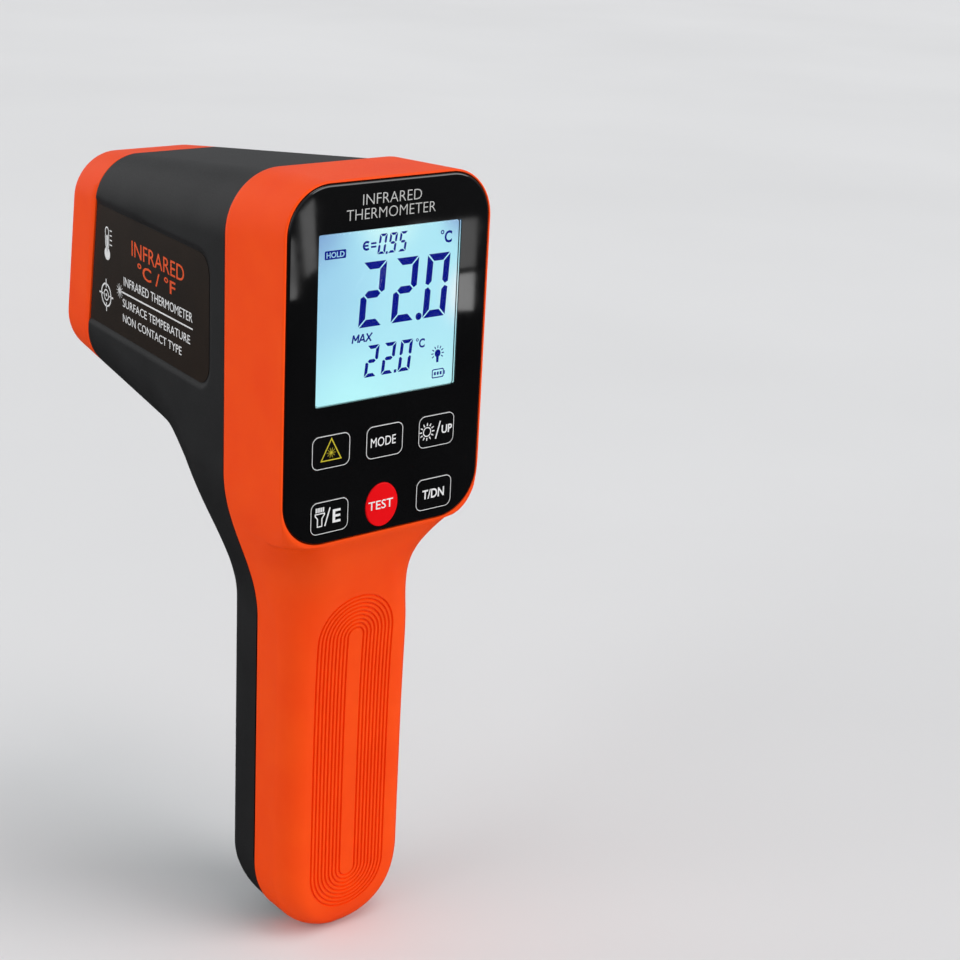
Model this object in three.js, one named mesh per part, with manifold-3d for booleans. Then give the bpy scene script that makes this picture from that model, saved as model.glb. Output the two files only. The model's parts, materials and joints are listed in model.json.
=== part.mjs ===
// Pistol-grip infrared thermometer, as an assembly of its separate pieces. Millimetres, +Z up.
// Inside this file x points right, y points forward from the face of the display, and z points up
// from the middle of the display. The last lines stand the whole assembly on the origin.

import * as THREE from 'three';
import { mergeVertices } from 'three/addons/utils/BufferGeometryUtils.js';
import Module from 'manifold-3d';

const wasm = await Module();
wasm.setup();

// ---------- Driving dimensions ----------

const gap = 0.3; // clearance between pieces that meet
const slip = 0.2; // clearance round a piece that sits in a pocket
const wall = 2.2; // thickness of the case
const farOut = 200; // longer than the whole tool

// The case, in two shells that meet on one upright plane
const partingY = 23.2;
const headHalfWidth = 29;
const headTop = 31.2;
const headTopSlope = 0.04; // the rear shell's top falls this much per mm forward
const headCorner = 14; // radius of the head's upper corners, at the parting plane
const faceHalfWidth = 28.6;
const faceCorner = 12; // the same corners at the face of the display
const faceBottom = -53.4;
const faceBottomCorner = 11.9;
const neckTop = -39.4; // the head narrows into the handle from here
const neckBottom = -79.4; // to here
const handleHalfWidth = 19.1;
const handleRearY = 9.6;
const handleFrontY = 39.5;
const handleEdge = 10; // radius along the front edges of the handle
const handleRearEdge = 6.5;
const neckRelax = 13; // length over which the rear of the neck settles onto the handle
const neckSwell = { radius: 7.3, z: -64, spread: 12 }; // the neck's rear edges are rounder
const tipTop = -145.6; // the rounded tip of the handle starts here
const tipLength = 20.2;
const tipWidthPower = 2.1; // nearly a half circle seen from behind
const tipDepthPower = 3.5; // flatter seen from the side
const tipLowY = 19.7; // depth of the lowest point
const tipRise = 0.09; // the tip rises this much per mm forward
const tipRiseLength = 8;

// The barrel
const barrelTop = 29.4; // at the parting plane
const barrelTopSlope = 0.117;
const barrelStep = 0.2; // the barrel stands this much inside the rear shell
const sideTaper = 0.0952;
const undersideKneeY = 62; // where the underside turns down into the neck
const undersideKneeZ = -43.9;
const undersideSlope = 0.12;
const neckFrontBottom = -78;
const neckFrontPower = 1.5;
const topEdgeRear = 14; // radius of the barrel's upper edges, at the parting plane
const topEdgeNose = 11;
const lowerEdge = 15; // radius of its lower edges
const barrelEndY = 125;

// The nose leans: its lower edge stands further forward
const noseLean = 0.1733; // radians
const noseY = 97.9;
const noseZ = -9.5;
const noseLength = 13.8;
const noseRim = 2.8;

// The display and its keys
const panelHalfWidth = 27.75;
const panelTop = 30.5;
const panelBottom = -52.5;
const panelCorner = 11;
const panelFaceY = -0.3;
const panelBackY = 1.2;
const windowBackY = 0.4;
const pocketFloorY = 1.5;
const faceWallY = 3.5;
const windowHalfWidth = 19.8;
const windowHalfHeight = 19.6;
const keyColumn = 15.1;
const keyRows = [-30.3, -46];
const keyHalfWidth = 5.25;
const keyHalfHeight = 4.1;
const testKeyRadii = [4.85, 5.4];
const keyTravel = 0.6;

// The battery and its door
const batteryHalfWidth = 13.25;
const batteryRear = 18;
const batteryFront = 35.5;
const batteryTop = -98.5;
const batteryBottom = -145.5;
const doorHalfWidth = 13.6;
const doorTop = -91.5;
const doorTongueTop = -144.5;
const doorTongueHalfWidth = 9.4;
const doorBottom = -150.5;
const doorAxis = { y: 37.3, z: -149 };
const doorSwingRoom = 0.8; // clearance under the door's shoulders, which dip as it swings

// The trigger
const triggerAxis = { y: 50.5, z: -42.5 };
const triggerHalfWidth = 6.5;
const triggerArmHalfWidth = 3.5;

// Screws
const screwHole = 1.6;
const screwShank = 1.3;
const bossRadius = 3.6;
const headScrew = { x: 18, z: 25.4 };
const handleScrewRows = [-84, -157.5];

// ---------- Colours ----------

function paint(color, roughness, metalness = 0) {
  return new THREE.MeshStandardMaterial({ color, roughness, metalness });
}
const orangePlastic = paint(0xf4500f, 0.45);
const blackPlastic = paint(0x2c2c2c, 0.6);
const glossBlack = paint(0x0d0d0e, 0.08);
const labelFilm = paint(0x261b12, 0.4);
const clearPlastic = paint(0xd6eef5, 0.05);
const lcdGlass = paint(0xb4dfee, 0.15);
const whitePlastic = paint(0xe8e8e4, 0.5);
const redPlastic = paint(0xe2001f, 0.35);
const rubber = paint(0x3a3a3c, 0.85);
const boardGreen = paint(0x1d5b34, 0.5);
const chipBlack = paint(0x18181a, 0.5);
const steel = paint(0xb4b6b8, 0.3, 1);
const brass = paint(0xb98d44, 0.35, 1);
const aluminium = paint(0x9a9c9f, 0.4, 1);
const batteryJacket = paint(0x2f4f80, 0.4);
const wireRed = paint(0xb01818, 0.5);
const wireBlack = paint(0x141414, 0.5);

// ---------- Solids ----------

const tool = new THREE.Group();

function solid(geometry, place = new THREE.Matrix4()) {
  const bare = geometry.clone().applyMatrix4(place);
  bare.deleteAttribute('normal');
  bare.deleteAttribute('uv');
  const merged = mergeVertices(bare, 1e-4);
  const vertProperties = new Float32Array(merged.attributes.position.array);
  const triVerts = new Uint32Array(merged.index.array);
  return new wasm.Manifold(new wasm.Mesh({ numProp: 3, vertProperties, triVerts }));
}

function add(name, shape, material) {
  const mesh = shape.getMesh();
  const geometry = new THREE.BufferGeometry();
  geometry.setAttribute('position', new THREE.BufferAttribute(mesh.vertProperties, 3));
  geometry.setIndex(new THREE.BufferAttribute(mesh.triVerts, 1));
  geometry.computeVertexNormals();
  const piece = new THREE.Mesh(geometry, material);
  piece.name = name;
  tool.add(piece);
}

function addSolids(shapes) {
  return shapes.reduce((whole, shape) => whole.add(shape));
}

function box(x0, x1, y0, y1, z0, z1) {
  const size = new THREE.BoxGeometry(x1 - x0, y1 - y0, z1 - z0);
  const middle = [(x0 + x1) / 2, (y0 + y1) / 2, (z0 + z1) / 2];
  return solid(size, new THREE.Matrix4().makeTranslation(...middle));
}

// A round bar between two points, or a cone where the second radius differs.
function bar(from, to, radius, radiusAtEnd = radius, sides = 18) {
  const start = new THREE.Vector3(...from);
  const along = new THREE.Vector3(...to).sub(start);
  const round = new THREE.CylinderGeometry(radiusAtEnd, radius, along.length(), sides);
  const turn = new THREE.Quaternion();
  turn.setFromUnitVectors(new THREE.Vector3(0, 1, 0), along.clone().normalize());
  const middle = start.addScaledVector(along, 0.5);
  return solid(round, new THREE.Matrix4().compose(middle, turn, new THREE.Vector3(1, 1, 1)));
}

const crossBar = (halfLength, { y, z }, radius, sides) =>
  bar([-halfLength, y, z], [halfLength, y, z], radius, radius, sides);

// A rounded rectangle seen from behind the tool, in x and z.
function roundedOutline(halfWidth, bottom, top, radius, lowerRadius = radius) {
  const outline = new THREE.Shape();
  outline.absarc(halfWidth - lowerRadius, bottom + lowerRadius, lowerRadius, -Math.PI / 2, 0);
  outline.absarc(halfWidth - radius, top - radius, radius, 0, Math.PI / 2);
  outline.absarc(radius - halfWidth, top - radius, radius, Math.PI / 2, Math.PI);
  outline.absarc(lowerRadius - halfWidth, bottom + lowerRadius, lowerRadius, Math.PI, Math.PI * 1.5);
  return outline;
}

function ellipseOutline(halfWidth, halfHeight) {
  const outline = new THREE.Shape();
  outline.absellipse(0, 0, halfWidth, halfHeight, 0, Math.PI * 2);
  return outline;
}

// An outline in x and z, made solid from one depth to another.
function plate(outline, y0, y1, centre = [0, 0], curveSegments = 4) {
  const thick = new THREE.ExtrudeGeometry(outline, { depth: y1 - y0, bevelEnabled: false, curveSegments });
  const place = new THREE.Matrix4().makeTranslation(centre[0], y1, centre[1]);
  return solid(thick, place.multiply(new THREE.Matrix4().makeRotationX(Math.PI / 2)));
}

// An outline in y and z, made solid from one x to another.
function sidePlate(outline, x0, x1, curveSegments = 4) {
  const thick = new THREE.ExtrudeGeometry(outline, { depth: x1 - x0, bevelEnabled: false, curveSegments });
  const axes = new THREE.Matrix4().makeBasis(
    new THREE.Vector3(0, 1, 0),
    new THREE.Vector3(0, 0, 1),
    new THREE.Vector3(1, 0, 0),
  );
  return solid(thick, new THREE.Matrix4().makeTranslation(x0, 0, 0).multiply(axes));
}

// A closed body through a stack of rings that all have the same number of points.
function loft(rings) {
  const count = rings[0].length;
  const index = [];
  for (let level = 0; level + 1 < rings.length; level++) {
    for (let i = 0; i < count; i++) {
      const a = level * count + i;
      const b = level * count + ((i + 1) % count);
      index.push(a, b, b + count, a, b + count, a + count);
    }
  }
  const last = (rings.length - 1) * count;
  for (let i = 1; i + 1 < count; i++) {
    index.push(0, i + 1, i);
    index.push(last, last + i, last + i + 1);
  }
  const geometry = new THREE.BufferGeometry();
  geometry.setAttribute('position', new THREE.Float32BufferAttribute(rings.flat(2), 3));
  geometry.setIndex(index);
  return solid(geometry);
}

// ---------- The shape of the case ----------

const clamp = THREE.MathUtils.clamp;
const mix = THREE.MathUtils.lerp;

// 1 on the handle, falling to 0 at its tip; inset makes the same shape for an inner wall.
function tipScale(level, power, inset = 0) {
  const t = clamp((tipTop - level) / (tipLength - inset), 0, 1);
  return (1 - t ** power) ** (1 / power);
}

const tipShift = (y, level) => tipRise * (y - tipLowY) * clamp((tipTop - level) / tipRiseLength, 0, 1);

// Half the width of the case on the parting plane.
function caseHalfWidth(level, inset = 0) {
  if (level < tipTop) return (handleHalfWidth - inset) * tipScale(level, tipWidthPower, inset);
  const u = clamp((neckTop - level) / (neckTop - neckBottom), 0, 1);
  return mix(headHalfWidth, handleHalfWidth, (1 - Math.cos(Math.PI * u)) / 2) - inset;
}

// The same where an upper corner of this radius narrows it.
function cornered(halfWidth, level, top, radius, inset) {
  const rise = level - (top - radius);
  if (rise <= 0) return halfWidth;
  return halfWidth + inset - radius + Math.sqrt(Math.max((radius - inset) ** 2 - rise ** 2, 0));
}

// Heights from the tip up to the given top, closer together where the case curves.
function levels(middle, top, radius, inset) {
  const quarter = Math.PI / 2;
  const arc = [0.05, 0.22, 0.42, 0.64, 0.86, 1];
  const tip = arc.map((step) => tipTop - (tipLength - inset) * Math.cos(step * quarter));
  const crown = [0, 0.25, 0.5, 0.75, 1];
  const corner = crown.map((step) => top - radius + (radius - inset) * Math.sin(step * quarter));
  return [...tip, ...middle, ...corner];
}

// Rear shell: each ring is a level slice, rounded towards the user.
function rearDepth(level, inset) {
  if (level > faceBottom) return inset ? faceWallY : 0;
  if (level < tipTop) return mix(tipLowY, handleRearY + inset, tipScale(level, tipDepthPower, inset));
  const depth = handleRearY * (1 - Math.exp((level - faceBottom) / neckRelax));
  return inset ? Math.max(depth + inset, faceWallY) : depth;
}

function rearRing(level, inset, endY) {
  const outer = cornered(caseHalfWidth(level, inset), level, headTop, headCorner, inset);
  const faceSide = caseHalfWidth(level, inset) - (headHalfWidth - faceHalfWidth);
  const side = cornered(faceSide, level, headTop, faceCorner, inset);
  const depth = rearDepth(level, inset);
  const swell = neckSwell.radius * Math.exp(-(((level - neckSwell.z) / neckSwell.spread) ** 2));
  let edge = Math.min(handleRearEdge + swell - inset, 0.9 * side);
  if (level < tipTop) edge = Math.min(edge, 0.9 * (tipLowY - depth));
  if (level > faceBottom) {
    const drop = Math.max(faceBottom + faceBottomCorner - level, 0);
    const flat = faceHalfWidth - faceBottomCorner + Math.sqrt(faceBottomCorner ** 2 - drop ** 2);
    edge = Math.max(side - flat + inset, 0.4);
  }
  const half = [[outer, endY]];
  for (let step = 0; step <= 5; step++) {
    const angle = (step / 5) * (Math.PI / 2);
    half.push([side - edge * (1 - Math.cos(angle)), depth + edge * (1 - Math.sin(angle))]);
  }
  const ramp = THREE.MathUtils.smoothstep(level, 0, headTop - headCorner);
  const place = ([x, y]) => [x, y, level - headTopSlope * y * ramp + tipShift(y, level)];
  return [...half, ...half.map(([x, y]) => [-x, y]).reverse()].map(place).reverse();
}

const rearLevels = [-100, -84, -76, -70, -65, -61, -58, -55.5, -53.6, -53.2, -52, -50, -47, -42];

function rearBody(inset, endY) {
  const middle = rearLevels.filter((level) => level > tipTop + 1);
  return loft(levels(middle, headTop, headCorner, inset).map((level) => rearRing(level, inset, endY)));
}

// Front shell: how far forward each level slice reaches, along the underside, neck and handle.
function frontDepth(level) {
  if (level < tipTop) return mix(tipLowY, handleFrontY, tipScale(level, tipDepthPower));
  if (level < neckFrontBottom) return handleFrontY;
  if (level < undersideKneeZ) {
    const u = (level - neckFrontBottom) / (undersideKneeZ - neckFrontBottom);
    const sweep = 1 - (1 - u ** neckFrontPower) ** (1 / neckFrontPower);
    return mix(handleFrontY, undersideKneeY, sweep);
  }
  return Math.min(undersideKneeY + (level - undersideKneeZ) / undersideSlope, barrelEndY);
}

const profileLevels = [...Array(40).keys()].map((i) => mix(neckFrontBottom, undersideKneeZ, i / 39));
const profile = profileLevels.map((level) => new THREE.Vector3(frontDepth(level), level, 0));
const barrelEndZ = undersideKneeZ + undersideSlope * (barrelEndY - undersideKneeY);
profile.push(new THREE.Vector3(barrelEndY, barrelEndZ, 0));
profile.unshift(new THREE.Vector3(handleFrontY, tipTop, 0));

const stretches = profile.slice(1).map((end, i) => new THREE.Line3(profile[i], end));

// Distance from a point of the side view to the underside and front of the case.
function distanceToProfile(y, z) {
  if (z < tipTop) return frontDepth(z) - y;
  const point = new THREE.Vector3(y, z, 0);
  const nearest = new THREE.Vector3();
  const lengths = stretches.map((stretch) =>
    stretch.closestPointToPoint(point, true, nearest).distanceTo(point));
  return Math.min(...lengths);
}

function edgeRadius(y, level) {
  if (level < neckFrontBottom) return handleEdge;
  const alongBarrel = clamp((y - partingY) / (noseY - partingY), 0, 1);
  if (level > noseZ) return mix(topEdgeRear, topEdgeNose, alongBarrel);
  return mix(lowerEdge, handleEdge, clamp((undersideKneeZ - level) / (undersideKneeZ - neckFrontBottom), 0, 1));
}

// Half the width of the front shell at a depth and level, with its long edges rounded.
function frontHalfWidth(y, level, inset) {
  const taper = sideTaper * clamp((level - neckFrontBottom) / (undersideKneeZ - neckFrontBottom), 0, 1);
  const flat = caseHalfWidth(level) - barrelStep - taper * (y - partingY) - inset;
  const toEdge = Math.min(barrelTop - level, distanceToProfile(y, level)) - inset;
  const radius = Math.min(Math.max(edgeRadius(y, level) - inset, 0.8), 0.9 * flat);
  return flat - radius + Math.sqrt(radius ** 2 - Math.max(radius - Math.max(toEdge, 0), 0) ** 2);
}

// The depth at which a level slice comes this near to the underside and front of the case.
function depthAtDistance(level, distance) {
  let near = partingY;
  let far = frontDepth(level);
  if (distance === 0 || distanceToProfile(far, level) > distance) return far;
  for (let i = 0; i < 24; i++) {
    const middle = (near + far) / 2;
    if (distanceToProfile(middle, level) > distance) near = middle;
    else far = middle;
  }
  return near;
}

// Each ring has a point on every one of these contours, so the rounding runs smoothly along them.
const contours = [15, 9.5, 5.5, 2.6, 0.7, 0];

function frontRing(level, inset, startY) {
  const reach = Math.max(depthAtDistance(level, inset), startY + 0.05);
  const ramp = THREE.MathUtils.smoothstep(level, 0, barrelTop - topEdgeRear);
  const shares = contours.map((contour, i) => {
    const share = (depthAtDistance(level, contour + inset) - startY) / (reach - startY);
    return clamp(share, 0.02 * (i + 1), 1 - 0.01 * (contours.length - 1 - i));
  });
  const half = [0, ...shares].map((share) => {
    const y = mix(startY, reach, share);
    const z = level - barrelTopSlope * (y - partingY) * ramp + tipShift(y, level);
    return [frontHalfWidth(y, level, inset), y, z];
  });
  return [...half, ...half.map(([x, y, z]) => [-x, y, z]).reverse()];
}

const frontLevels = [
  -100, -79, -74, -69, -64, -59, -54.5, -51, -48, -46, -44.6,
  -43.2, -41.5, -39.5, -37, -34, -30, -24, -8, 6,
];

function frontBody(inset, startY) {
  const kneeHalf = undersideKneeZ + inset;
  const middle = frontLevels.filter((level) => level > tipTop && Math.abs(level - kneeHalf) > 0.4);
  const stack = levels(middle, barrelTop, topEdgeRear, inset).map((level) => frontRing(level, inset, startY));
  return loft(stack);
}

// Everything in front of a plane parallel to the nose, this far forward of the barrel's end.
const noseFrame = new THREE.Matrix4()
  .makeTranslation(0, noseY, noseZ)
  .multiply(new THREE.Matrix4().makeRotationX(noseLean));

function noseSlab(from, to = farOut) {
  const slab = new THREE.BoxGeometry(farOut, to - from, farOut);
  const place = new THREE.Matrix4().makeTranslation(0, (from + to) / 2, 0);
  return solid(slab, noseFrame.clone().multiply(place));
}

const rearOuter = rearBody(0, partingY - gap / 2);
const rearInner = rearBody(wall, partingY + 1);
const frontOuter = frontBody(0, partingY + gap / 2);
const frontInner = frontBody(wall, partingY - 1);
const beyondNose = noseSlab(0);

// ---------- Keys ----------

const keyPlaces = [
  { name: 'laser_key', x: -keyColumn, z: keyRows[0] },
  { name: 'mode_key', x: 0, z: keyRows[0] },
  { name: 'up_key', x: keyColumn, z: keyRows[0] },
  { name: 'torch_key', x: -keyColumn, z: keyRows[1] },
  { name: 'test_key', x: 0, z: keyRows[1] },
  { name: 'down_key', x: keyColumn, z: keyRows[1] },
];

function keyOutline(name, spare) {
  if (name === 'test_key') return ellipseOutline(testKeyRadii[0] + spare, testKeyRadii[1] + spare);
  const [w, h] = [keyHalfWidth + spare, keyHalfHeight + spare];
  return roundedOutline(w, -h, h, 1.9 + spare);
}

function keyStem(spare) {
  return roundedOutline(3.6 + spare, -2.6 - spare, 2.6 + spare, 1);
}

function makeKeys() {
  for (const { name, x, z } of keyPlaces) {
    const cap = plate(keyOutline(name, 0), panelFaceY - 0.15, pocketFloorY - keyTravel - 0.1, [x, z]);
    const stem = plate(keyStem(0), 0, 4.6, [x, z], 3);
    add(name, cap.add(stem), name === 'test_key' ? redPlastic : glossBlack);
  }
}

// ---------- Rear shell, with the display ----------

function makeRearShell() {
  let shell = rearOuter.subtract(rearInner);
  for (const side of [-1, 1]) {
    const x = side * headScrew.x;
    shell = shell.add(bar([x, faceWallY - 1, headScrew.z], [x, partingY - gap / 2, headScrew.z], 3.2));
  }
  for (const z of handleScrewRows) {
    const post = bar([0, handleRearY + 1, z], [0, partingY - gap / 2, z], bossRadius);
    shell = shell.add(post.intersect(rearOuter));
  }
  const pocket = roundedOutline(
    panelHalfWidth + slip, panelBottom - slip, panelTop + slip, panelCorner + slip);
  shell = shell.subtract(plate(pocket, -3, pocketFloorY, [0, 0], 8));
  const lcdOpening = roundedOutline(22.7, -21.9, 21.9, 1);
  shell = shell.subtract(plate(lcdOpening, 0, faceWallY + 1, [0, 0], 2));
  for (const { x, z } of keyPlaces) {
    shell = shell.subtract(plate(keyStem(0.4), 0, faceWallY + 1, [x, z], 3));
  }
  for (const side of [-1, 1]) {
    const x = side * headScrew.x;
    shell = shell.subtract(bar([x, 0, headScrew.z], [x, farOut, headScrew.z], screwHole));
    shell = shell.subtract(bar([x, 0, headScrew.z], [x, 3.8, headScrew.z], 2.7));
  }
  for (const z of handleScrewRows) {
    shell = shell.subtract(bar([0, 14.5, z], [0, farOut, z], screwHole));
  }
  add('rear_shell', shell, orangePlastic);
}

function makeDisplay() {
  const outline = roundedOutline(panelHalfWidth, panelBottom, panelTop, panelCorner);
  let panel = plate(outline, panelFaceY, panelBackY, [0, 0], 8);
  const opening = roundedOutline(windowHalfWidth, -windowHalfHeight, windowHalfHeight, 0.8);
  panel = panel.subtract(plate(opening, -2, 2, [0, 0], 3));
  for (const { name, x, z } of keyPlaces) {
    panel = panel.subtract(plate(keyOutline(name, 0.25), -2, 2, [x, z]));
  }
  add('display_panel', panel, glossBlack);
  const [w, h] = [windowHalfWidth - slip, windowHalfHeight - slip];
  add('display_window', plate(roundedOutline(w, -h, h, 0.7), panelFaceY, windowBackY, [0, 0], 3), clearPlastic);
  const cell = box(-22.4, 22.4, 1.5, 3.3, -21.6, 21.6);
  add('lcd_cell', cell.add(box(-19.5, 19.5, windowBackY + gap, 2, -19.3, 19.3)), lcdGlass);
  add('lcd_backlight', box(-21.4, 21.4, 3.6, 6, -20.4, 20.4), whitePlastic);
  const frame = box(-24.2, 24.2, 3.8, 8.4, -23.2, 21.8).subtract(box(-21.8, 21.8, 3, 9, -20.8, 20.8));
  add('lcd_frame', frame, blackPlastic);
  let mat = box(-21.5, 21.5, 6.8, 8.4, -51.3, -25);
  for (const { x, z } of keyPlaces) {
    mat = mat.add(bar([x, 7.5, z], [x, 5.5, z], 3.4, 2.4, 16));
  }
  add('key_mat', mat, rubber);
  const board = roundedOutline(23, -50.8, 21.8, 2);
  add('main_board', plate(board, 8.7, 10.3, [0, 0], 3), boardGreen);
  add('processor_chip', box(-14, -2, 10.6, 12.2, -6, 6), chipBlack);
  add('buzzer', bar([11, 10.6, 8], [11, 14.4, 8], 6), chipBlack);
}

// ---------- Front shell ----------

// The labels lie in shallow pockets of the barrel's sides.
function labelBand(spare) {
  const outline = new THREE.Shape();
  const [rear, bottom, top, corner] = [31.5 - spare, -22 - spare, 9.3 + spare, 5];
  outline.moveTo(farOut / 2, bottom);
  outline.lineTo(farOut / 2, top);
  outline.lineTo(rear + corner, top);
  outline.absarc(rear + corner, top - corner, corner, Math.PI / 2, Math.PI);
  outline.absarc(rear + corner, bottom + corner, corner, Math.PI, Math.PI * 1.5);
  return outline;
}

function labelLayer(spare, outerInset, innerInset, end) {
  const band = sidePlate(labelBand(spare), -farOut / 2, farOut / 2);
  const layer = frontBody(outerInset, partingY + 1).subtract(frontBody(innerInset, partingY));
  return layer.intersect(band).subtract(noseSlab(end));
}

function doorOutline(spare, below = spare) {
  const [wide, narrow] = [doorHalfWidth + spare, doorTongueHalfWidth + spare];
  const outline = new THREE.Shape();
  const [bottom, shoulder, top, corner] = [doorBottom - spare, doorTongueTop - below, doorTop + spare, 2];
  outline.moveTo(narrow, bottom);
  outline.lineTo(narrow, shoulder);
  outline.absarc(wide - corner, shoulder + corner, corner, -Math.PI / 2, 0);
  outline.absarc(wide - corner, top - corner, corner, 0, Math.PI / 2);
  outline.absarc(corner - wide, top - corner, corner, Math.PI / 2, Math.PI);
  outline.absarc(corner - wide, shoulder + corner, corner, Math.PI, Math.PI * 1.5);
  outline.lineTo(-narrow, shoulder);
  outline.lineTo(-narrow, bottom);
  return outline;
}

function makeFrontShell() {
  let shell = frontOuter.subtract(frontInner);
  const inner = [];
  for (const side of [-1, 1]) {
    const x = side * headScrew.x;
    inner.push(bar([x, partingY + gap / 2, headScrew.z], [x, 32, headScrew.z], 3.2));
    const [near, far] = [7.2, 9].map((half) => side * half);
    inner.push(box(Math.min(near, far), Math.max(near, far), 37, 54.5, -58, -38.5));
    const [ear, earEnd] = [9.8, 12.6].map((half) => side * half);
    inner.push(box(Math.min(ear, earEnd), Math.max(ear, earEnd), 34.8, 39, -151, -146.9));
  }
  for (const z of handleScrewRows) inner.push(bar([0, partingY + gap / 2, z], [0, handleFrontY, z], bossRadius));
  for (const z of [-90.5, -146.9]) inner.push(box(-farOut, farOut, partingY + 2, farOut, z, z + 1.2));
  shell = shell.add(addSolids(inner).intersect(frontOuter));
  const cuts = [beyondNose, labelLayer(slip, -1, 1, farOut / 2)];
  for (const side of [-1, 1]) {
    const x = side * headScrew.x;
    cuts.push(bar([x, partingY - 1, headScrew.z], [x, 30, headScrew.z], screwHole));
  }
  for (const z of handleScrewRows) {
    const seat = screwSeat(z);
    cuts.push(bar([0, 0, z], [0, farOut, z], screwHole));
    cuts.push(bar([0, seat - gap, z], [0, farOut, z], 3));
  }
  cuts.push(plate(doorOutline(gap, doorSwingRoom), 34, farOut / 2));
  cuts.push(crossBar(doorTongueHalfWidth + gap, doorAxis, 3));
  cuts.push(crossBar(12.6, doorAxis, 0.8, 16));
  cuts.push(crossBar(farOut, triggerAxis, 1.15, 16).intersect(box(-9.6, 9.6, 0, farOut, -farOut, 0)));
  cuts.push(box(-6.9, 6.9, 43, 61, -61.5, -40));
  for (const cut of cuts) shell = shell.subtract(cut);
  add('front_shell', shell, blackPlastic);
}

const screwSeat = (z) => frontDepth(z) - 5.5;

// A screw whose head is at the first depth and whose tip is at the second.
function screw(x, z, headY, tipY, headRadius) {
  const way = Math.sign(tipY - headY);
  const head = bar([x, headY, z], [x, headY + way * 1.8, z], headRadius);
  const shank = bar([x, headY + way, z], [x, tipY, z], screwShank, screwShank, 16);
  const slot = [0, Math.PI / 2].map((turn) => {
    const cross = new THREE.BoxGeometry(headRadius * 1.1, 1.2, 0.7);
    const place = new THREE.Matrix4().makeTranslation(x, headY, z);
    return solid(cross, place.multiply(new THREE.Matrix4().makeRotationY(turn)));
  });
  return head.add(shank).subtract(slot[0]).subtract(slot[1]);
}

function makeScrews() {
  add('head_screw_left', screw(-headScrew.x, headScrew.z, 1.7, 29, 2.4), steel);
  add('head_screw_right', screw(headScrew.x, headScrew.z, 1.7, 29, 2.4), steel);
  const [upper, lower] = handleScrewRows;
  add('handle_screw_upper', screw(0, upper, screwSeat(upper) + 1.8, 15.5, 2.6), steel);
  add('handle_screw_lower', screw(0, lower, screwSeat(lower) + 1.8, 15.5, 2.6), steel);
}

function makeLabels() {
  const both = labelLayer(0, 0.35, 0.75, -0.6);
  add('side_label_left', both.intersect(box(-farOut, 0, 0, farOut, -farOut, farOut)), labelFilm);
  add('side_label_right', both.intersect(box(0, farOut, 0, farOut, -farOut, farOut)), labelFilm);
}

// ---------- Nose ----------

// A round bar along the line of sight: distances forward of the barrel's end, at a height on the nose.
function sightBar(from, to, height, radius, radiusAtEnd = radius, sides = 24) {
  const round = new THREE.CylinderGeometry(radiusAtEnd, radius, to - from, sides);
  const place = new THREE.Matrix4().makeTranslation(0, (from + to) / 2, height);
  return solid(round, noseFrame.clone().multiply(place));
}

const lensHeight = 3;
const lensRadius = 9.2;
const laserHeights = [19.2, -13.4];
const torchHeight = -21;
const noseFloor = 6.5; // the plate that carries the windows starts here

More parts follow.
